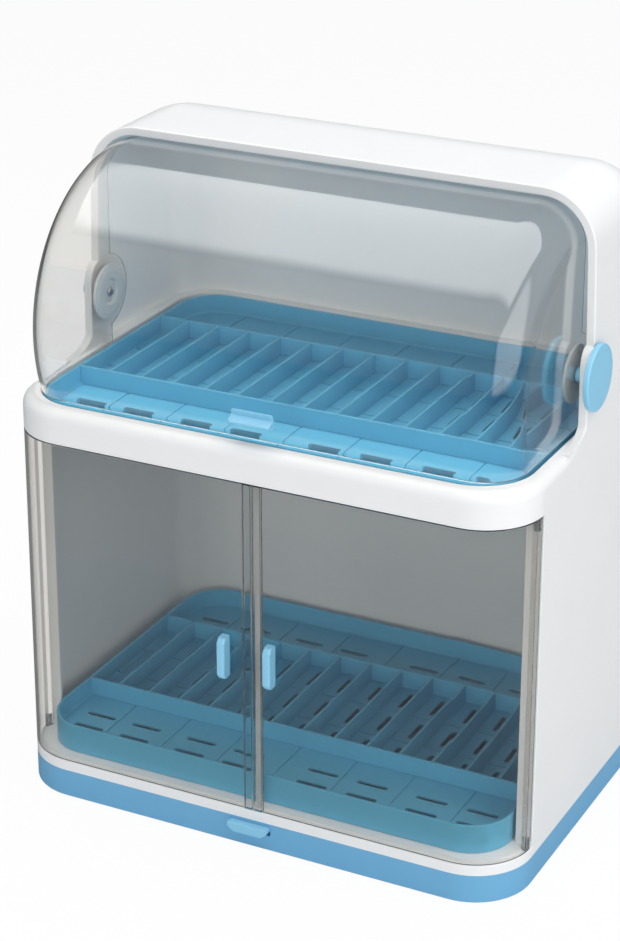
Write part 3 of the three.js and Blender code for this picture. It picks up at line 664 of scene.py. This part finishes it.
def hoodSurface(inset, frontShift=0.0, flatFront=None):
    # outer form moved in by inset. A section with two round corners is swept back along the top,
    # down a quarter round and down the back; the two side walls hang from its ends. The front
    # follows the ears, moved back by frontShift, or is straight at flatFront.
    h, c = hood, cabinet
    half = c["halfWidth"] - inset
    cornerRadius = c["rearRadius"] - inset
    cornerX = c["halfWidth"] - c["rearRadius"]
    cornerReach = h["rollRadius"] - c["rearRadius"]
    rollY = c["depth"] - h["rollRadius"]
    rollZ = h["top"] - h["rollRadius"]
    x, rho = roundedSection(cornerX, cornerRadius, cornerReach, 15, 20)
    # heights of the side walls' rows, closer together along the ear
    low, earTop, shoulderTop = h["low"], h["earTop"][0], h["earTop"][1]
    footHigh = h["earFoot"][1]
    sideTop = rollZ + cornerReach
    levels = np.concatenate([
        low + (footHigh - low) * (1 - np.cos(quarter(13))),
        np.linspace(footHigh, earTop, 6)[1:],
        earTop + (shoulderTop - earTop) * np.sin(quarter(13))[1:],
        np.linspace(shoulderTop, sideTop, 9)[1:],
    ])
    shares = (levels - low) / (sideTop - low)
    frontEdge = earFront(levels) + frontShift if flatFront is None else np.full(len(levels), flatFront)
    along = np.linspace(0.0, 1.0, 11)
    rollTurn = quarter(27)
    yTop = frontEdge[-1] + (rollY - frontEdge[-1]) * along
    straight = xyz(x, yTop[:, None], rollZ + rho)
    roll = xyz(x, rollY + rho * np.sin(rollTurn)[:, None], rollZ + rho * np.cos(rollTurn)[:, None])
    back = xyz(x, rollY + rho, (low + (rollZ - low) * shares[::-1])[:, None])
    sweep = np.concatenate([straight, roll[1:], back[1:]])
    wall = xyz(-half, frontEdge[:, None] + (rollY - frontEdge[:, None]) * along, levels[:, None])
    ceiling = rollZ + cornerReach * np.cos(rollTurn)
    underRoll = xyz(-half, rollY + cornerReach * np.sin(rollTurn), low + (ceiling - low) * shares[:, None])
    left = np.concatenate([wall, underRoll[:, 1:]], axis=1)
    right = left * np.array([-1.0, 1.0, 1.0])
    frontLine = np.concatenate([left[:, 0], sweep[0, 1:-1], right[::-1, 0]])
    bottomLine = np.concatenate([left[0], sweep[-1, 1:-1], right[0][::-1]])
    return {"grids": [sweep, left, right], "front": frontLine, "bottom": bottomLine}


def makeHood():
    # outer surface, a rounded front lip that steps in to the wall, and the inner surface
    h = hood
    edge, soft, inset, turn = h["edgeRound"], h["lipRound"], h["lipWidth"], quarter(6)
    outer = hoodSurface(0.0, edge)
    inner = hoodSurface(h["wall"], flatFront=h["lipBack"])
    lines = [hoodSurface(edge * (1 - math.cos(t)), edge * (1 - math.sin(t)))["front"] for t in turn]
    lines += [hoodSurface(inset - soft * (1 - math.sin(t)), soft * (1 - math.cos(t)))["front"] for t in turn]
    lines += [hoodSurface(inset, flatFront=h["lipBack"])["front"], inner["front"]]
    lip = np.stack(lines)
    base = np.stack([outer["bottom"], inner["bottom"]])
    parts = [gridPart(hoodTaper(g)) for g in outer["grids"] + inner["grids"] + [lip, base]]
    parts += [capPart(hoodTaper(lip[:, 0])), capPart(hoodTaper(lip[:, -1]))]
    piece = meshObject("hood", parts)
    finishPiece(piece, whiteAbs, "cabinet", ["hood"])


makeHood()
print("hood made")


# ---------- roll-top lid ----------
lid = {
    "radius": 137.5,
    "half": 211.0,
    "corner": 35.5,
    "wall": 2.4,
    "pivot": (145.0, 399.1),
    "low": 352.0,
    "rear": 152.0,
    "ear": 32.0,
    "hole": 4.3,
    "edgeRound": 0.45,
}


def makeLid():
    # a section with two round corners turned about the pivots from the front rim to just under the
    # hood; flat side walls with round ears; the wall's thickness is added inwards
    d = lid
    pivotY, pivotZ = d["pivot"]
    drop, back = pivotZ - d["low"], d["rear"] - pivotY
    cornerReach = d["radius"] - d["corner"]
    cornerX = d["half"] - d["corner"]
    x, rho = roundedSection(cornerX, d["corner"], cornerReach, 15, 16)
    start, end = -np.arcsin(drop / rho), math.pi / 2 + np.arcsin(back / rho)
    share = np.linspace(0.0, 1.0, 61)[:, None]
    angle = start + (end - start) * share
    sweep = xyz(x, pivotY - rho * np.cos(angle), pivotZ + rho * np.sin(angle))
    # side wall: rows from the pivot hole out to its boundary, all the way round
    first, last = angle[0, 0], angle[-1, 0]
    rearMeetsEar = math.pi / 2 + math.asin(back / d["ear"])
    earMeetsRear = 2 * math.pi - rearMeetsEar
    corner = math.pi + math.atan2(drop, back)
    around = np.concatenate([
        angle[:, 0],
        np.linspace(last, rearMeetsEar, 8)[1:],
        np.linspace(rearMeetsEar, earMeetsRear, 40)[1:],
        np.linspace(earMeetsRear, corner, 4)[1:],
        np.linspace(corner, first + 2 * math.pi, 16)[1:-1],
    ])
    cosine, sine = np.cos(around), np.sin(around)
    limit = np.full_like(around, cornerReach)
    limit = np.where(cosine < -1e-6, np.minimum(limit, back / np.maximum(-cosine, 1e-6)), limit)
    limit = np.where(sine < -1e-6, np.minimum(limit, drop / np.maximum(-sine, 1e-6)), limit)
    limit[: len(share)] = cornerReach
    limit = np.maximum(limit, d["ear"])
    out = np.concatenate([[0.0], np.linspace(0.08, 1.0, 9)])[:, None]
    radius = d["hole"] + (limit - d["hole"]) * out
    left = xyz(-d["half"], pivotY - radius * cosine, pivotZ + radius * sine)
    right = left * np.array([-1.0, 1.0, 1.0])
    parts = [gridPart(sweep), gridPart(left, closedCols=True), gridPart(right, closedCols=True)]
    piece = meshObject("lid", parts)
    facing = piece.data.polygons[len(piece.data.polygons) // 3]
    outward = facing.center - Vector((0.0, (pivotY - cabinet["frontToMiddle"]) / 1000.0, pivotZ / 1000.0))
    outward.x = 0.0
    if facing.normal.dot(outward) < 0:
        piece.data.flip_normals()
    shell = piece.modifiers.new("wall", "SOLIDIFY")
    shell.thickness = d["wall"] / 1000.0
    shell.offset = -1.0
    shell.use_even_offset = True
    bpy.context.view_layer.update()
    fixModifiers(piece)
    finishPiece(piece, clearLid, "lid", ["lid"], bevelMm=d["edgeRound"])


makeLid()
print("lid made")


# ---------- lid tab, knobs and bushes ----------
tab = {
    "half": 18.0,
    "root": 1.2,
    "depth": 9.5,
    "thick": 2.4,
    "corner": 3.0,
    "edge": 0.7,
    "tilt": 23.0,
    "drop": 27.0,
    "above": 0.1,
    "pad": 13.0,
    "padThick": 1.6,
    "padCorner": 2.0,
    "padEdge": 0.6,
}


def makeLidHandle():
    # lip to lift by: a rounded slab tilted out of a curved pad that lies on the lid
    t, d = tab, lid
    pivotY, pivotZ = d["pivot"]
    half, drop = t["half"], t["drop"]
    inner = d["radius"] + t["above"]
    rootY, rootZ = pivotY - math.sqrt(inner * inner - drop ** 2), pivotZ - drop
    outline = roundedLine([
        (-half, t["root"], 0.0), (-half, -t["depth"], t["corner"]),
        (half, -t["depth"], t["corner"]), (half, t["root"], 0.0)], steps=8)
    cosine, sine = math.cos(math.radians(t["tilt"])), math.sin(math.radians(t["tilt"]))
    parts = []
    for places, faces in prismParts(outline, 0.0, t["thick"], edge=t["edge"], steps=4):
        x, y, z = places.reshape(-1, 3).T
        parts.append((xyz(x, rootY + y * cosine - z * sine, rootZ + y * sine + z * cosine), faces))
    piece = meshObject("lidHandle", parts)
    # pad: a band of the lid's own curve, rounded at its rim
    reach = np.arcsin(drop / inner)
    padHalf, soft = t["pad"] / 2, t["padCorner"]
    padOutline = roundedLine([
        (-half, -padHalf, soft), (half, -padHalf, soft), (half, padHalf, soft), (-half, padHalf, soft),
    ], closed=True, steps=5)
    padParts = []
    for places, faces in prismParts(padOutline, 0.0, t["padThick"], edge=t["padEdge"], steps=3):
        x, y, z = places.reshape(-1, 3).T
        angle = y / inner - reach
        padParts.append((xyz(x, pivotY - (inner + z) * np.cos(angle), pivotZ + (inner + z) * np.sin(angle)), faces))
    combine(piece, padParts, "UNION")
    finishPiece(piece, gripBlue, "lid", ["lid_handle"])


knob = {
    "radius": 27.0,
    "thick": 5.0,
    "edge": 1.6,
    "spindle": 6.0,
    "face": 225.3,
    "inner": 211.3,
    "dome": 0.35,
    "domeStart": 6.0,
    "dimple": (2.6, 2.0, 0.5),
}
bush = {
    "radius": 23.5,
    "thick": 3.6,
    "bore": 2.2,
    "hub": 4.0,
    "rim": 5.0,
    "recess": 9.5,
    "ring": 2.2,
    "recessDepth": 1.6,
    "lidFace": 208.3,
}
poleRadius = 0.02  # the lathed profiles end this close to their axis


def makeKnob():
    # flat disc with a soft edge and the faintest dome, on a spindle
    k = knob
    outer = k["face"] + k["thick"]
    profile = roundedLine([
        (poleRadius, k["inner"], 0.0),
        (k["spindle"], k["inner"], 0.0),
        (k["spindle"], k["face"], 0.5),
        (k["radius"], k["face"], 0.8),
        (k["radius"], outer - k["dome"], k["edge"]),
        (k["radius"] - k["domeStart"], outer - k["dome"] * 0.4, 6.0),
        (poleRadius, outer, 0.0),
    ], steps=6)
    piece = meshObject("pivotKnob_right", latheParts(profile, lid["pivot"], 1))
    finishPiece(piece, gripBlue, "lid", ["pivot_knob_right"])


def makeAxle():
    # bare end of the left spindle, with a shallow dimple where the mould was filled
    k = knob
    outer = k["face"] + k["thick"]
    dimpleTop, dimpleFoot, dimpleDepth = k["dimple"]
    profile = roundedLine([
        (poleRadius, k["inner"], 0.0),
        (k["spindle"], k["inner"], 0.0),
        (k["spindle"], outer, k["edge"]),
        (dimpleTop, outer, 0.4),
        (dimpleFoot, outer - dimpleDepth, 0.4),
        (poleRadius, outer - dimpleDepth, 0.0),
    ], steps=6)
    piece = meshObject("pivotAxle_left", latheParts(profile, lid["pivot"], -1, steps=48))
    finishPiece(piece, gripBlue, "lid", ["pivot_axle_left"])


def makeBush(name, node, side):
    # disc inside the lid with a recess for the screw, a raised ring round it and a soft rim
    b = bush
    inner = b["lidFace"] - b["thick"]
    profile = roundedLine([
        (b["bore"], lid["half"], 0.0),
        (b["hub"], lid["half"], 0.3),
        (b["hub"], b["lidFace"], 0.0),
        (b["radius"], b["lidFace"], 0.3),
        (b["radius"], inner + 1.2, 1.0),
        (b["radius"] - b["rim"], inner, 2.5),
        (b["recess"] + b["ring"], inner, 0.8),
        (b["recess"], inner + b["recessDepth"], 0.8),
        (b["bore"], inner + b["recessDepth"], 0.0),
    ], steps=5)
    tube = latheParts(profile, lid["pivot"], side)[0][0].reshape(len(profile), -1, 3)
    piece = meshObject(name, [gridPart(np.concatenate([tube, tube[:1]]), closedCols=True)])
    finishPiece(piece, bushGrey, "lid", [node])


screw = {
    "head": 4.2,
    "seat": 206.0,
    "rim": 0.7,
    "dome": 2.3,
    "shank": 1.8,
    "tip": 219.0,
    "pole": 0.25,
    "arm": 2.7,
    "slot": 1.0,
    "deep": 1.5,
}


def makeScrew(name, node, side):
    # domed head with a cross recess on a plain shank
    d = screw
    seat, head, shank, pole = d["seat"], d["head"], d["shank"], d["pole"]
    turn = quarter(12)
    crown = np.column_stack([head * np.cos(turn), seat - d["rim"] - (d["dome"] - d["rim"]) * np.sin(turn)])
    crown[-1, 0] = pole
    stem = [(head, seat), (shank, seat), (shank, d["tip"]), (pole, d["tip"])]
    piece = meshObject(name, latheParts(np.concatenate([crown[::-1], stem]), lid["pivot"], side, steps=48))
    y, z = lid["pivot"]
    top = seat - d["dome"]
    start, end = sorted((side * (top - 1.0), side * (top + d["deep"])))
    for armY, armZ in ((d["arm"], d["slot"] / 2), (d["slot"] / 2, d["arm"])):
        combine(piece, boxParts((start, y - armY, z - armZ), (end, y + armY, z + armZ)), "DIFFERENCE")
    finishPiece(piece, steel, "lid", [node])


makeLidHandle()
makeKnob()
makeAxle()
for word, side in (("left", -1), ("right", 1)):
    makeBush(f"pivotBush_{word}", f"pivot_bush_{word}", side)
    makeScrew(f"pivotScrew_{word}", f"pivot_screw_{word}", side)
print("lid fittings made")


# ---------- doors ----------
door = {
    "low": 34.2,
    "high": 320.6,
    "thick": 2.4,
    "seam": 3.0,
    "gap": 0.4,
    "rib": 7.6,
    "ribProud": 1.0,
    "ribDepth": 2.6,
    "ribFoot": 3.0,
    "edge": 0.5,
    "barrelTurn": (8.0, 279.0),
    "innerEnd": -11.5,
    "handleOffset": 20.3,
}


def doorOutline(side):
    # plan of one door: thick meeting rib, flat front, quarter round and hinge barrel
    d, c = door, cabinet
    seam = d["seam"] * side + d["gap"]
    ribEnd = seam + d["rib"]
    foot, proud = ribEnd + d["ribFoot"], -d["ribProud"]
    thick, inside = d["thick"], d["thick"] + d["ribDepth"]
    rib = roundedLine([
        (foot, thick, 0.0), (ribEnd, thick, 1.0), (ribEnd, inside, 0.9), (seam, inside, 0.7),
        (seam, proud, 0.7), (ribEnd, proud, 0.5), (ribEnd, 0.0, 0.3), (foot, 0.0, 0.0)], steps=4)
    radius = c["frontRadius"]
    arcX = c["halfWidth"] - radius
    outerTurn = np.linspace(-math.pi / 2, -math.asin((radius - hinge["y"]) / radius), 26)
    innerTurn = np.linspace(math.radians(d["innerEnd"]), -math.pi / 2, 24)
    barrelTurn = np.radians(np.linspace(*d["barrelTurn"], 30))
    arcs = [
        np.column_stack([x + r * np.cos(turn), y + r * np.sin(turn)]) for x, y, r, turn in (
            (arcX, radius, radius, outerTurn),
            (hinge["x"], hinge["y"], hinge["barrel"], barrelTurn),
            (arcX, radius, radius - thick, innerTurn))]
    return np.concatenate([rib, *arcs]) * np.array([side, 1.0])


def makeDoor(name, node, side, body):
    piece = meshObject(name, prismParts(doorOutline(side), door["low"], door["high"], edge=door["edge"], steps=3))
    finishPiece(piece, clearDoor, body, [node])


# painted reflection: a pale strip where the right door's meeting rib reflects light inside itself
paintedReflectionStrip = {"inset": 1.3, "width": 4.6, "thick": 0.35, "endGap": 3.0}


def makePaintedReflectionStrip():
    # pale strip on the inside of the right door's meeting rib: a painted reflection, standing in for the light the
    # rib reflects inside itself
    d, w = door, paintedReflectionStrip
    start = d["seam"] + d["gap"] + w["inset"]
    end = start + w["width"]
    inside = d["thick"] + d["ribDepth"]
    near, far = inside + 0.02, inside + w["thick"]
    outline = [(start, near), (end, near), (end, far), (start, far)]
    parts = prismParts(outline, d["low"] + w["endGap"], d["high"] - w["endGap"], edge=0.05, steps=2)
    piece = meshObject("paintedReflectionStrip_right", parts)
    finishPiece(piece, paintedReflection, "right_door", [])


grip = {
    "width": 7.0,
    "reach": 11.0,
    "low": 152.0,
    "length": 36.0,
    "chamfer": 3.4,
    "frontChamfer": (1.4, 1.6),
    "narrowing": 0.10,
    "edge": 0.35,
}


def makeDoorGrip(name, node, side, body):
    # upright bar: an outline in plan whose front edges are bevelled, tapered at both ends
    g = grip
    half, reach, chamfer = g["width"] / 2, g["reach"], g["chamfer"]
    across, deep = g["frontChamfer"]
    middle = side * door["handleOffset"]
    outline = roundedLine([
        (-half, 0.05, 0.0), (-half, deep - reach, 0.9), (across - half, -reach, 0.7),
        (half - across, -reach, 0.7), (half, deep - reach, 0.9), (half, 0.05, 0.0)], closed=True, steps=4)
    levels = np.array([0.0, 0.5, chamfer, chamfer + 1.2])
    pull = np.array([chamfer + 0.4, chamfer - 0.4, 0.5, 0.0])  # the front draws back at the ends
    heights = np.concatenate([g["low"] + levels, g["low"] + g["length"] - levels[::-1]])[:, None]
    back = np.concatenate([pull, pull[::-1]])[:, None]
    share = np.clip(-outline[:, 1] / reach, 0.0, 1.0)
    narrow = 1.0 - g["narrowing"] * back / chamfer
    grid = xyz(middle + outline[:, 0] * narrow, outline[:, 1] + back * share, heights)
    piece = meshObject(name, sweepParts(grid))
    finishPiece(piece, gripBlue, body, [node], bevelMm=g["edge"])


makePaintedReflectionStrip()
for word, side in (("left", -1), ("right", 1)):
    makeDoor(f"door_{word}_clear", f"door_{word}", side, f"{word}_door")
    makeDoorGrip(f"doorGrip_{word}", f"door_handle_{word}", side, f"{word}_door")
print("doors made")


# ---------- rack trays ----------
tray = {
    **trayPlan,
    "wall": 2.4,
    "height": 24.9,
    "floorTop": 8.8,
    "capInset": 7.0,
    "railFront": 93.525,
    "railBack": 229.563,
    "cells": 14,
    "cellSlot": (28.0, 4.4),
    "cellSlotPitch": 45.0,
    "stripSlot": (28.0, 4.8),
    "stripShares": (0.167, 0.383, 0.639, 0.852),
    "stripRows": (64.3, 42.6, 243.9, 265.6),
    "groove": (1.5, 0.9),
    "grooveX": (0.0, 52.7, 105.3, 159.0),
    "grooveStart": 1.2,
    "crossGrooves": (22.5, -22.5),
    "crossHalf": 12.6,
}
combSizes = {"rail": 2.4, "divider": 2.0, "foot": 9.1, "draft": 0.5, "topRound": 0.7, "endGap": 0.2}
trayLevels = {"lower": 35.8, "upper": 325.8}
floorUnders = {"lower": 7.0, "upper": 5.6}


def cellPitch():
    return 2 * tray["half"] / tray["cells"]


def trayCutters(level, under):
    # slots through the floor, and the fine grooves on it
    t = tray
    middle = (t["railFront"] + t["railBack"]) / 2
    floor = level + t["floorTop"]
    cellX = [(cell - (t["cells"] - 1) / 2) * cellPitch() for cell in range(t["cells"])]
    outlines = [
        slotOutline(x, middle + row * t["cellSlotPitch"], *t["cellSlot"], True) for x in cellX for row in (-1, 0, 1)]
    outlines += [
        slotOutline(side * share * t["half"], y, *t["stripSlot"], False)
        for y in t["stripRows"] for share in t["stripShares"] for side in (-1, 1)]
    parts = []
    for outline in outlines:
        parts += prismParts(outline, level + under - 1.0, floor + 1.0, edge=0.01, steps=1)
    width, depth = t["groove"]
    half, edge, past = width / 2, t["wall"] + t["grooveStart"], 0.6
    strips = ((t["front"] + edge, t["railFront"] + past), (t["railBack"] - past, t["back"] - edge))
    low, high = floor - depth, floor + 2.0
    for start, end in strips:
        for x in sorted({s * g for g in t["grooveX"] for s in (-1, 1)}):
            parts += boxParts((x - half, start, low), (x + half, end, high))
    reach = t["crossHalf"]
    for x in cellX:
        for y in (middle + offset for offset in t["crossGrooves"]):
            parts += boxParts((x - reach, y - half, low), (x + reach, y + half, high))
    return parts


def makeRackTray(name, nodes, level, under, body):
    # pan: a wall with a rounded rim carried round the outline, and a floor with slots and fine grooves
    t = tray
    stations = planStations(t["half"], t["front"], t["back"], t["corner"], t["corner"], 14, 6)
    profile = roundedLine([
        (t["capInset"], under, 0.0), (t["wall"], under, 0.8), (t["wall"], 0.0, 0.5),
        (0.0, 0.0, 0.6), (0.0, t["height"], 1.0), (t["wall"], t["height"], 1.0),
        (t["wall"], t["floorTop"], 2.6), (t["capInset"], t["floorTop"], 0.0)], steps=5)
    piece = meshObject(name, cappedSweep(stations, profile + np.array([0.0, level])))
    combine(piece, trayCutters(level, under), "DIFFERENCE")
    finishPiece(piece, trayBlue, body, nodes)


def ribParts(start, end, thick, low, high):
    # thin upright wall between two plan points: drafted sides and a rounded top
    c = combSizes
    half, foot = thick / 2, thick / 2 + c["draft"]
    section = roundedLine([
        (-foot, low, 0.0), (foot, low, 0.0), (half, high, c["topRound"]), (-half, high, c["topRound"])],
        closed=True, steps=4)
    start, end = np.array(start, float), np.array(end, float)
    along = (end - start) / np.linalg.norm(end - start)
    across = np.array([-along[1], along[0]])
    rows = [np.column_stack([place + section[:, :1] * across, section[:, 1]]) for place in (start, end)]
    return sweepParts(np.stack(rows))


def makePlateComb(name, node, level, body):
    # two rails across the tray and thin dividers between them, one to each plate
    t, c = tray, combSizes
    low, high = level + c["foot"], level + t["height"]
    half = t["half"] - t["wall"] - c["endGap"]
    front, back = t["railFront"] + c["rail"] / 2, t["railBack"] - c["rail"] / 2
    rails, dividers = [], []
    for y in (front, back):
        rails += ribParts((-half, y), (half, y), c["rail"], low, high)
    for k in range(1, t["cells"]):
        x = (k - t["cells"] / 2) * cellPitch()
        dividers += ribParts((x, front), (x, back), c["divider"], low, high - 0.02)
    piece = meshObject(name, rails)
    combine(piece, dividers, "UNION")
    finishPiece(piece, trayBlue, body, [node])


for tier, body in (("lower", "lower_tray"), ("upper", "cabinet")):
    covered = [f"{tier}_rack_tray", f"{tier}_tray_wall"]
    makeRackTray(f"rackTray_{tier}", covered, trayLevels[tier], floorUnders[tier], body)
    makePlateComb(f"plateComb_{tier}", f"{tier}_plate_comb", trayLevels[tier], body)
print("trays made")

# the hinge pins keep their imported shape
for name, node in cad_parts.items():
    if name.startswith("door_pin"):
        node.data.materials.clear()
        node.data.materials.append(steel)


# ---------- stage, lamps and camera ----------
stage = {
    "half": 6.0,
    "floor": "#F4F5F6",
    "floorInGloss": "#8C8D8E",
    "floorWhite": 0.94,
    "worldLevel": 0.19,
    "worldInGloss": 0.32,
    "lampTarget": (0.0, 0.0, 0.3),
}
lamps = {
    "key": {"place": (0.35, -2.6, 1.35), "size": (0.5, 0.5), "power": 6.0},
    "low": {"place": (0.0, -4.6, 1.15), "size": (4.0, 0.8), "power": 40.0},
}
softPanels = {
    "above": {
        "corner": (-1.75, -1.5, 2.6),
        "edges": ((4.15, 0.0, 0.0), (0.0, 2.8, 0.0)),
        "fade": (0.08, 0.08, 0.20, 0.03),
        "strength": 2.6,
    },
    "right": {
        "corner": (2.3, -3.0, 0.1),
        "edges": ((0.0, 3.6, 0.0), (0.0, 0.0, 2.3)),
        "fade": (0.25, 0.12, 0.1, 0.2),
        "strength": 1.9,
    },
}


def directlySeen(tree):
    # 1 for what the camera sees straight or through clear pieces, 0 for light that lands on surfaces
    path = addNode(tree, "LightPath").outputs
    seen = mathNode(tree, "MAXIMUM", path["Is Camera Ray"], path["Is Transmission Ray"])
    bounces = mathNode(tree, "ADD", path["Diffuse Depth"], path["Glossy Depth"])
    return mathNode(tree, "MULTIPLY", seen, mathNode(tree, "LESS_THAN", bounces, 0.5))


def makeFloor():
    # pale paper that shows the shadow, looks almost white to the camera and darker in reflections
    half = stage["half"]
    mesh = bpy.data.meshes.new("floor")
    mesh.from_pydata([(-half, -half, 0), (half, -half, 0), (half, half, 0), (-half, half, 0)], [], [(0, 1, 2, 3)])
    floor = bpy.data.objects.new("floor", mesh)
    bpy.context.scene.collection.objects.link(floor)
    material, tree = newMaterial("paperFloor")
    paper = addNode(tree, "BsdfDiffuse", inputs={"Color": linearColour(stage["floor"])}).outputs[0]
    mirrored = addNode(tree, "BsdfDiffuse", inputs={"Color": linearColour(stage["floorInGloss"])}).outputs[0]
    lit = mixShader(tree, addNode(tree, "LightPath").outputs["Is Glossy Ray"], paper, mirrored)
    white = addNode(tree, "Emission", inputs={"Color": (1, 1, 1, 1), "Strength": 1.0}).outputs[0]
    share = mathNode(tree, "MULTIPLY", directlySeen(tree), stage["floorWhite"])
    addNode(tree, "OutputMaterial", inputs={"Surface": mixShader(tree, share, lit, white)})
    mesh.materials.append(material)


def makeWorld():
    # white where it is seen, and plain soft light everywhere else
    world = bpy.data.worlds.new("studio")
    bpy.context.scene.world = world
    world.use_nodes = True
    tree = world.node_tree
    tree.nodes.clear()
    soft, dim, white = [
        addNode(tree, "Background", inputs={"Color": (1, 1, 1, 1), "Strength": level}).outputs[0]
        for level in (stage["worldLevel"], stage["worldInGloss"], 1.0)]
    around = mixShader(tree, addNode(tree, "LightPath").outputs["Is Glossy Ray"], soft, dim)
    addNode(tree, "OutputWorld", inputs={"Surface": mixShader(tree, directlySeen(tree), around, white)})


def addLamp(name, place, size, power):
    # lamp that lights the piece but isn't mirrored in the clear parts
    lamp = bpy.data.lights.new(name, "AREA")
    lamp.shape = "RECTANGLE"
    lamp.size, lamp.size_y = size
    lamp.energy = power
    thing = bpy.data.objects.new(name, lamp)
    bpy.context.scene.collection.objects.link(thing)
    thing.location = place
    thing.rotation_euler = (Vector(stage["lampTarget"]) - Vector(place)).to_track_quat("-Z", "Y").to_euler()
    thing.visible_glossy = False
    thing.visible_transmission = False


def addSoftPanel(name, corner, edges, fade, strength):
    # large cloth-covered panel that shows in the clear parts; it fades towards its four edges by
    # shares of its own length and height
    start, along, up = Vector(corner), Vector(edges[0]), Vector(edges[1])
    mesh = bpy.data.meshes.new(name)
    mesh.from_pydata([start, start + along, start + along + up, start + up], [], [(0, 1, 2, 3)])
    spread = mesh.uv_layers.new(name="spread")
    spread.data.foreach_set("uv", [0.0, 0.0, 1.0, 0.0, 1.0, 1.0, 0.0, 1.0])
    panel = bpy.data.objects.new(name, mesh)
    bpy.context.scene.collection.objects.link(panel)
    material, tree = newMaterial(name + "Cloth")
    place = addNode(tree, "UVMap", {"uv_map": "spread"})
    split = addNode(tree, "SeparateXYZ", inputs={"Vector": place.outputs["UV"]})
    level = None
    for axis, width, side in zip("XXYY", fade, (0.0, 1.0, 0.0, 1.0)):
        inner = width if side == 0.0 else 1.0 - width
        edge = addNode(tree, "MapRange", {"interpolation_type": "SMOOTHSTEP"}, {
            "Value": split.outputs[axis], "From Min": side, "From Max": inner,
            "To Min": 0.0, "To Max": 1.0}).outputs[0]
        if level is not None:
            edge = mathNode(tree, "MULTIPLY", level, edge)
        level = edge
    glow = mathNode(tree, "MULTIPLY", level, strength)
    light = addNode(tree, "Emission", inputs={"Color": (1, 1, 1, 1), "Strength": glow})
    addNode(tree, "OutputMaterial", inputs={"Surface": light.outputs[0]})
    mesh.materials.append(material)
    panel.visible_camera = False


camera = {
    "place": (0.8584, -1.7527, 1.1237),
    "target": (-0.00637, -0.037, 0.35562),
    "lens": 98.9,
    "shift": (0.0028, -0.0837),
    "roll": 0.07,
}


def addCamera():
    data = bpy.data.cameras.new("view")
    data.lens = camera["lens"]
    data.sensor_width = 36.0
    data.shift_x, data.shift_y = camera["shift"]
    thing = bpy.data.objects.new("view", data)
    bpy.context.scene.collection.objects.link(thing)
    look = Vector(camera["target"]) - Vector(camera["place"])
    turn = look.to_track_quat("-Z", "Y").to_matrix() @ Matrix.Rotation(math.radians(camera["roll"]), 3, "Z")
    thing.matrix_world = Matrix.Translation(camera["place"]) @ turn.to_4x4()
    bpy.context.scene.camera = thing


makeFloor()
makeWorld()
for name, panel in softPanels.items():
    addSoftPanel(name + "Panel", **panel)
for name, lamp in lamps.items():
    addLamp(name + "Lamp", **lamp)
addCamera()
scene = bpy.context.scene
scene.view_settings.view_transform = "Standard"
print("stage ready")
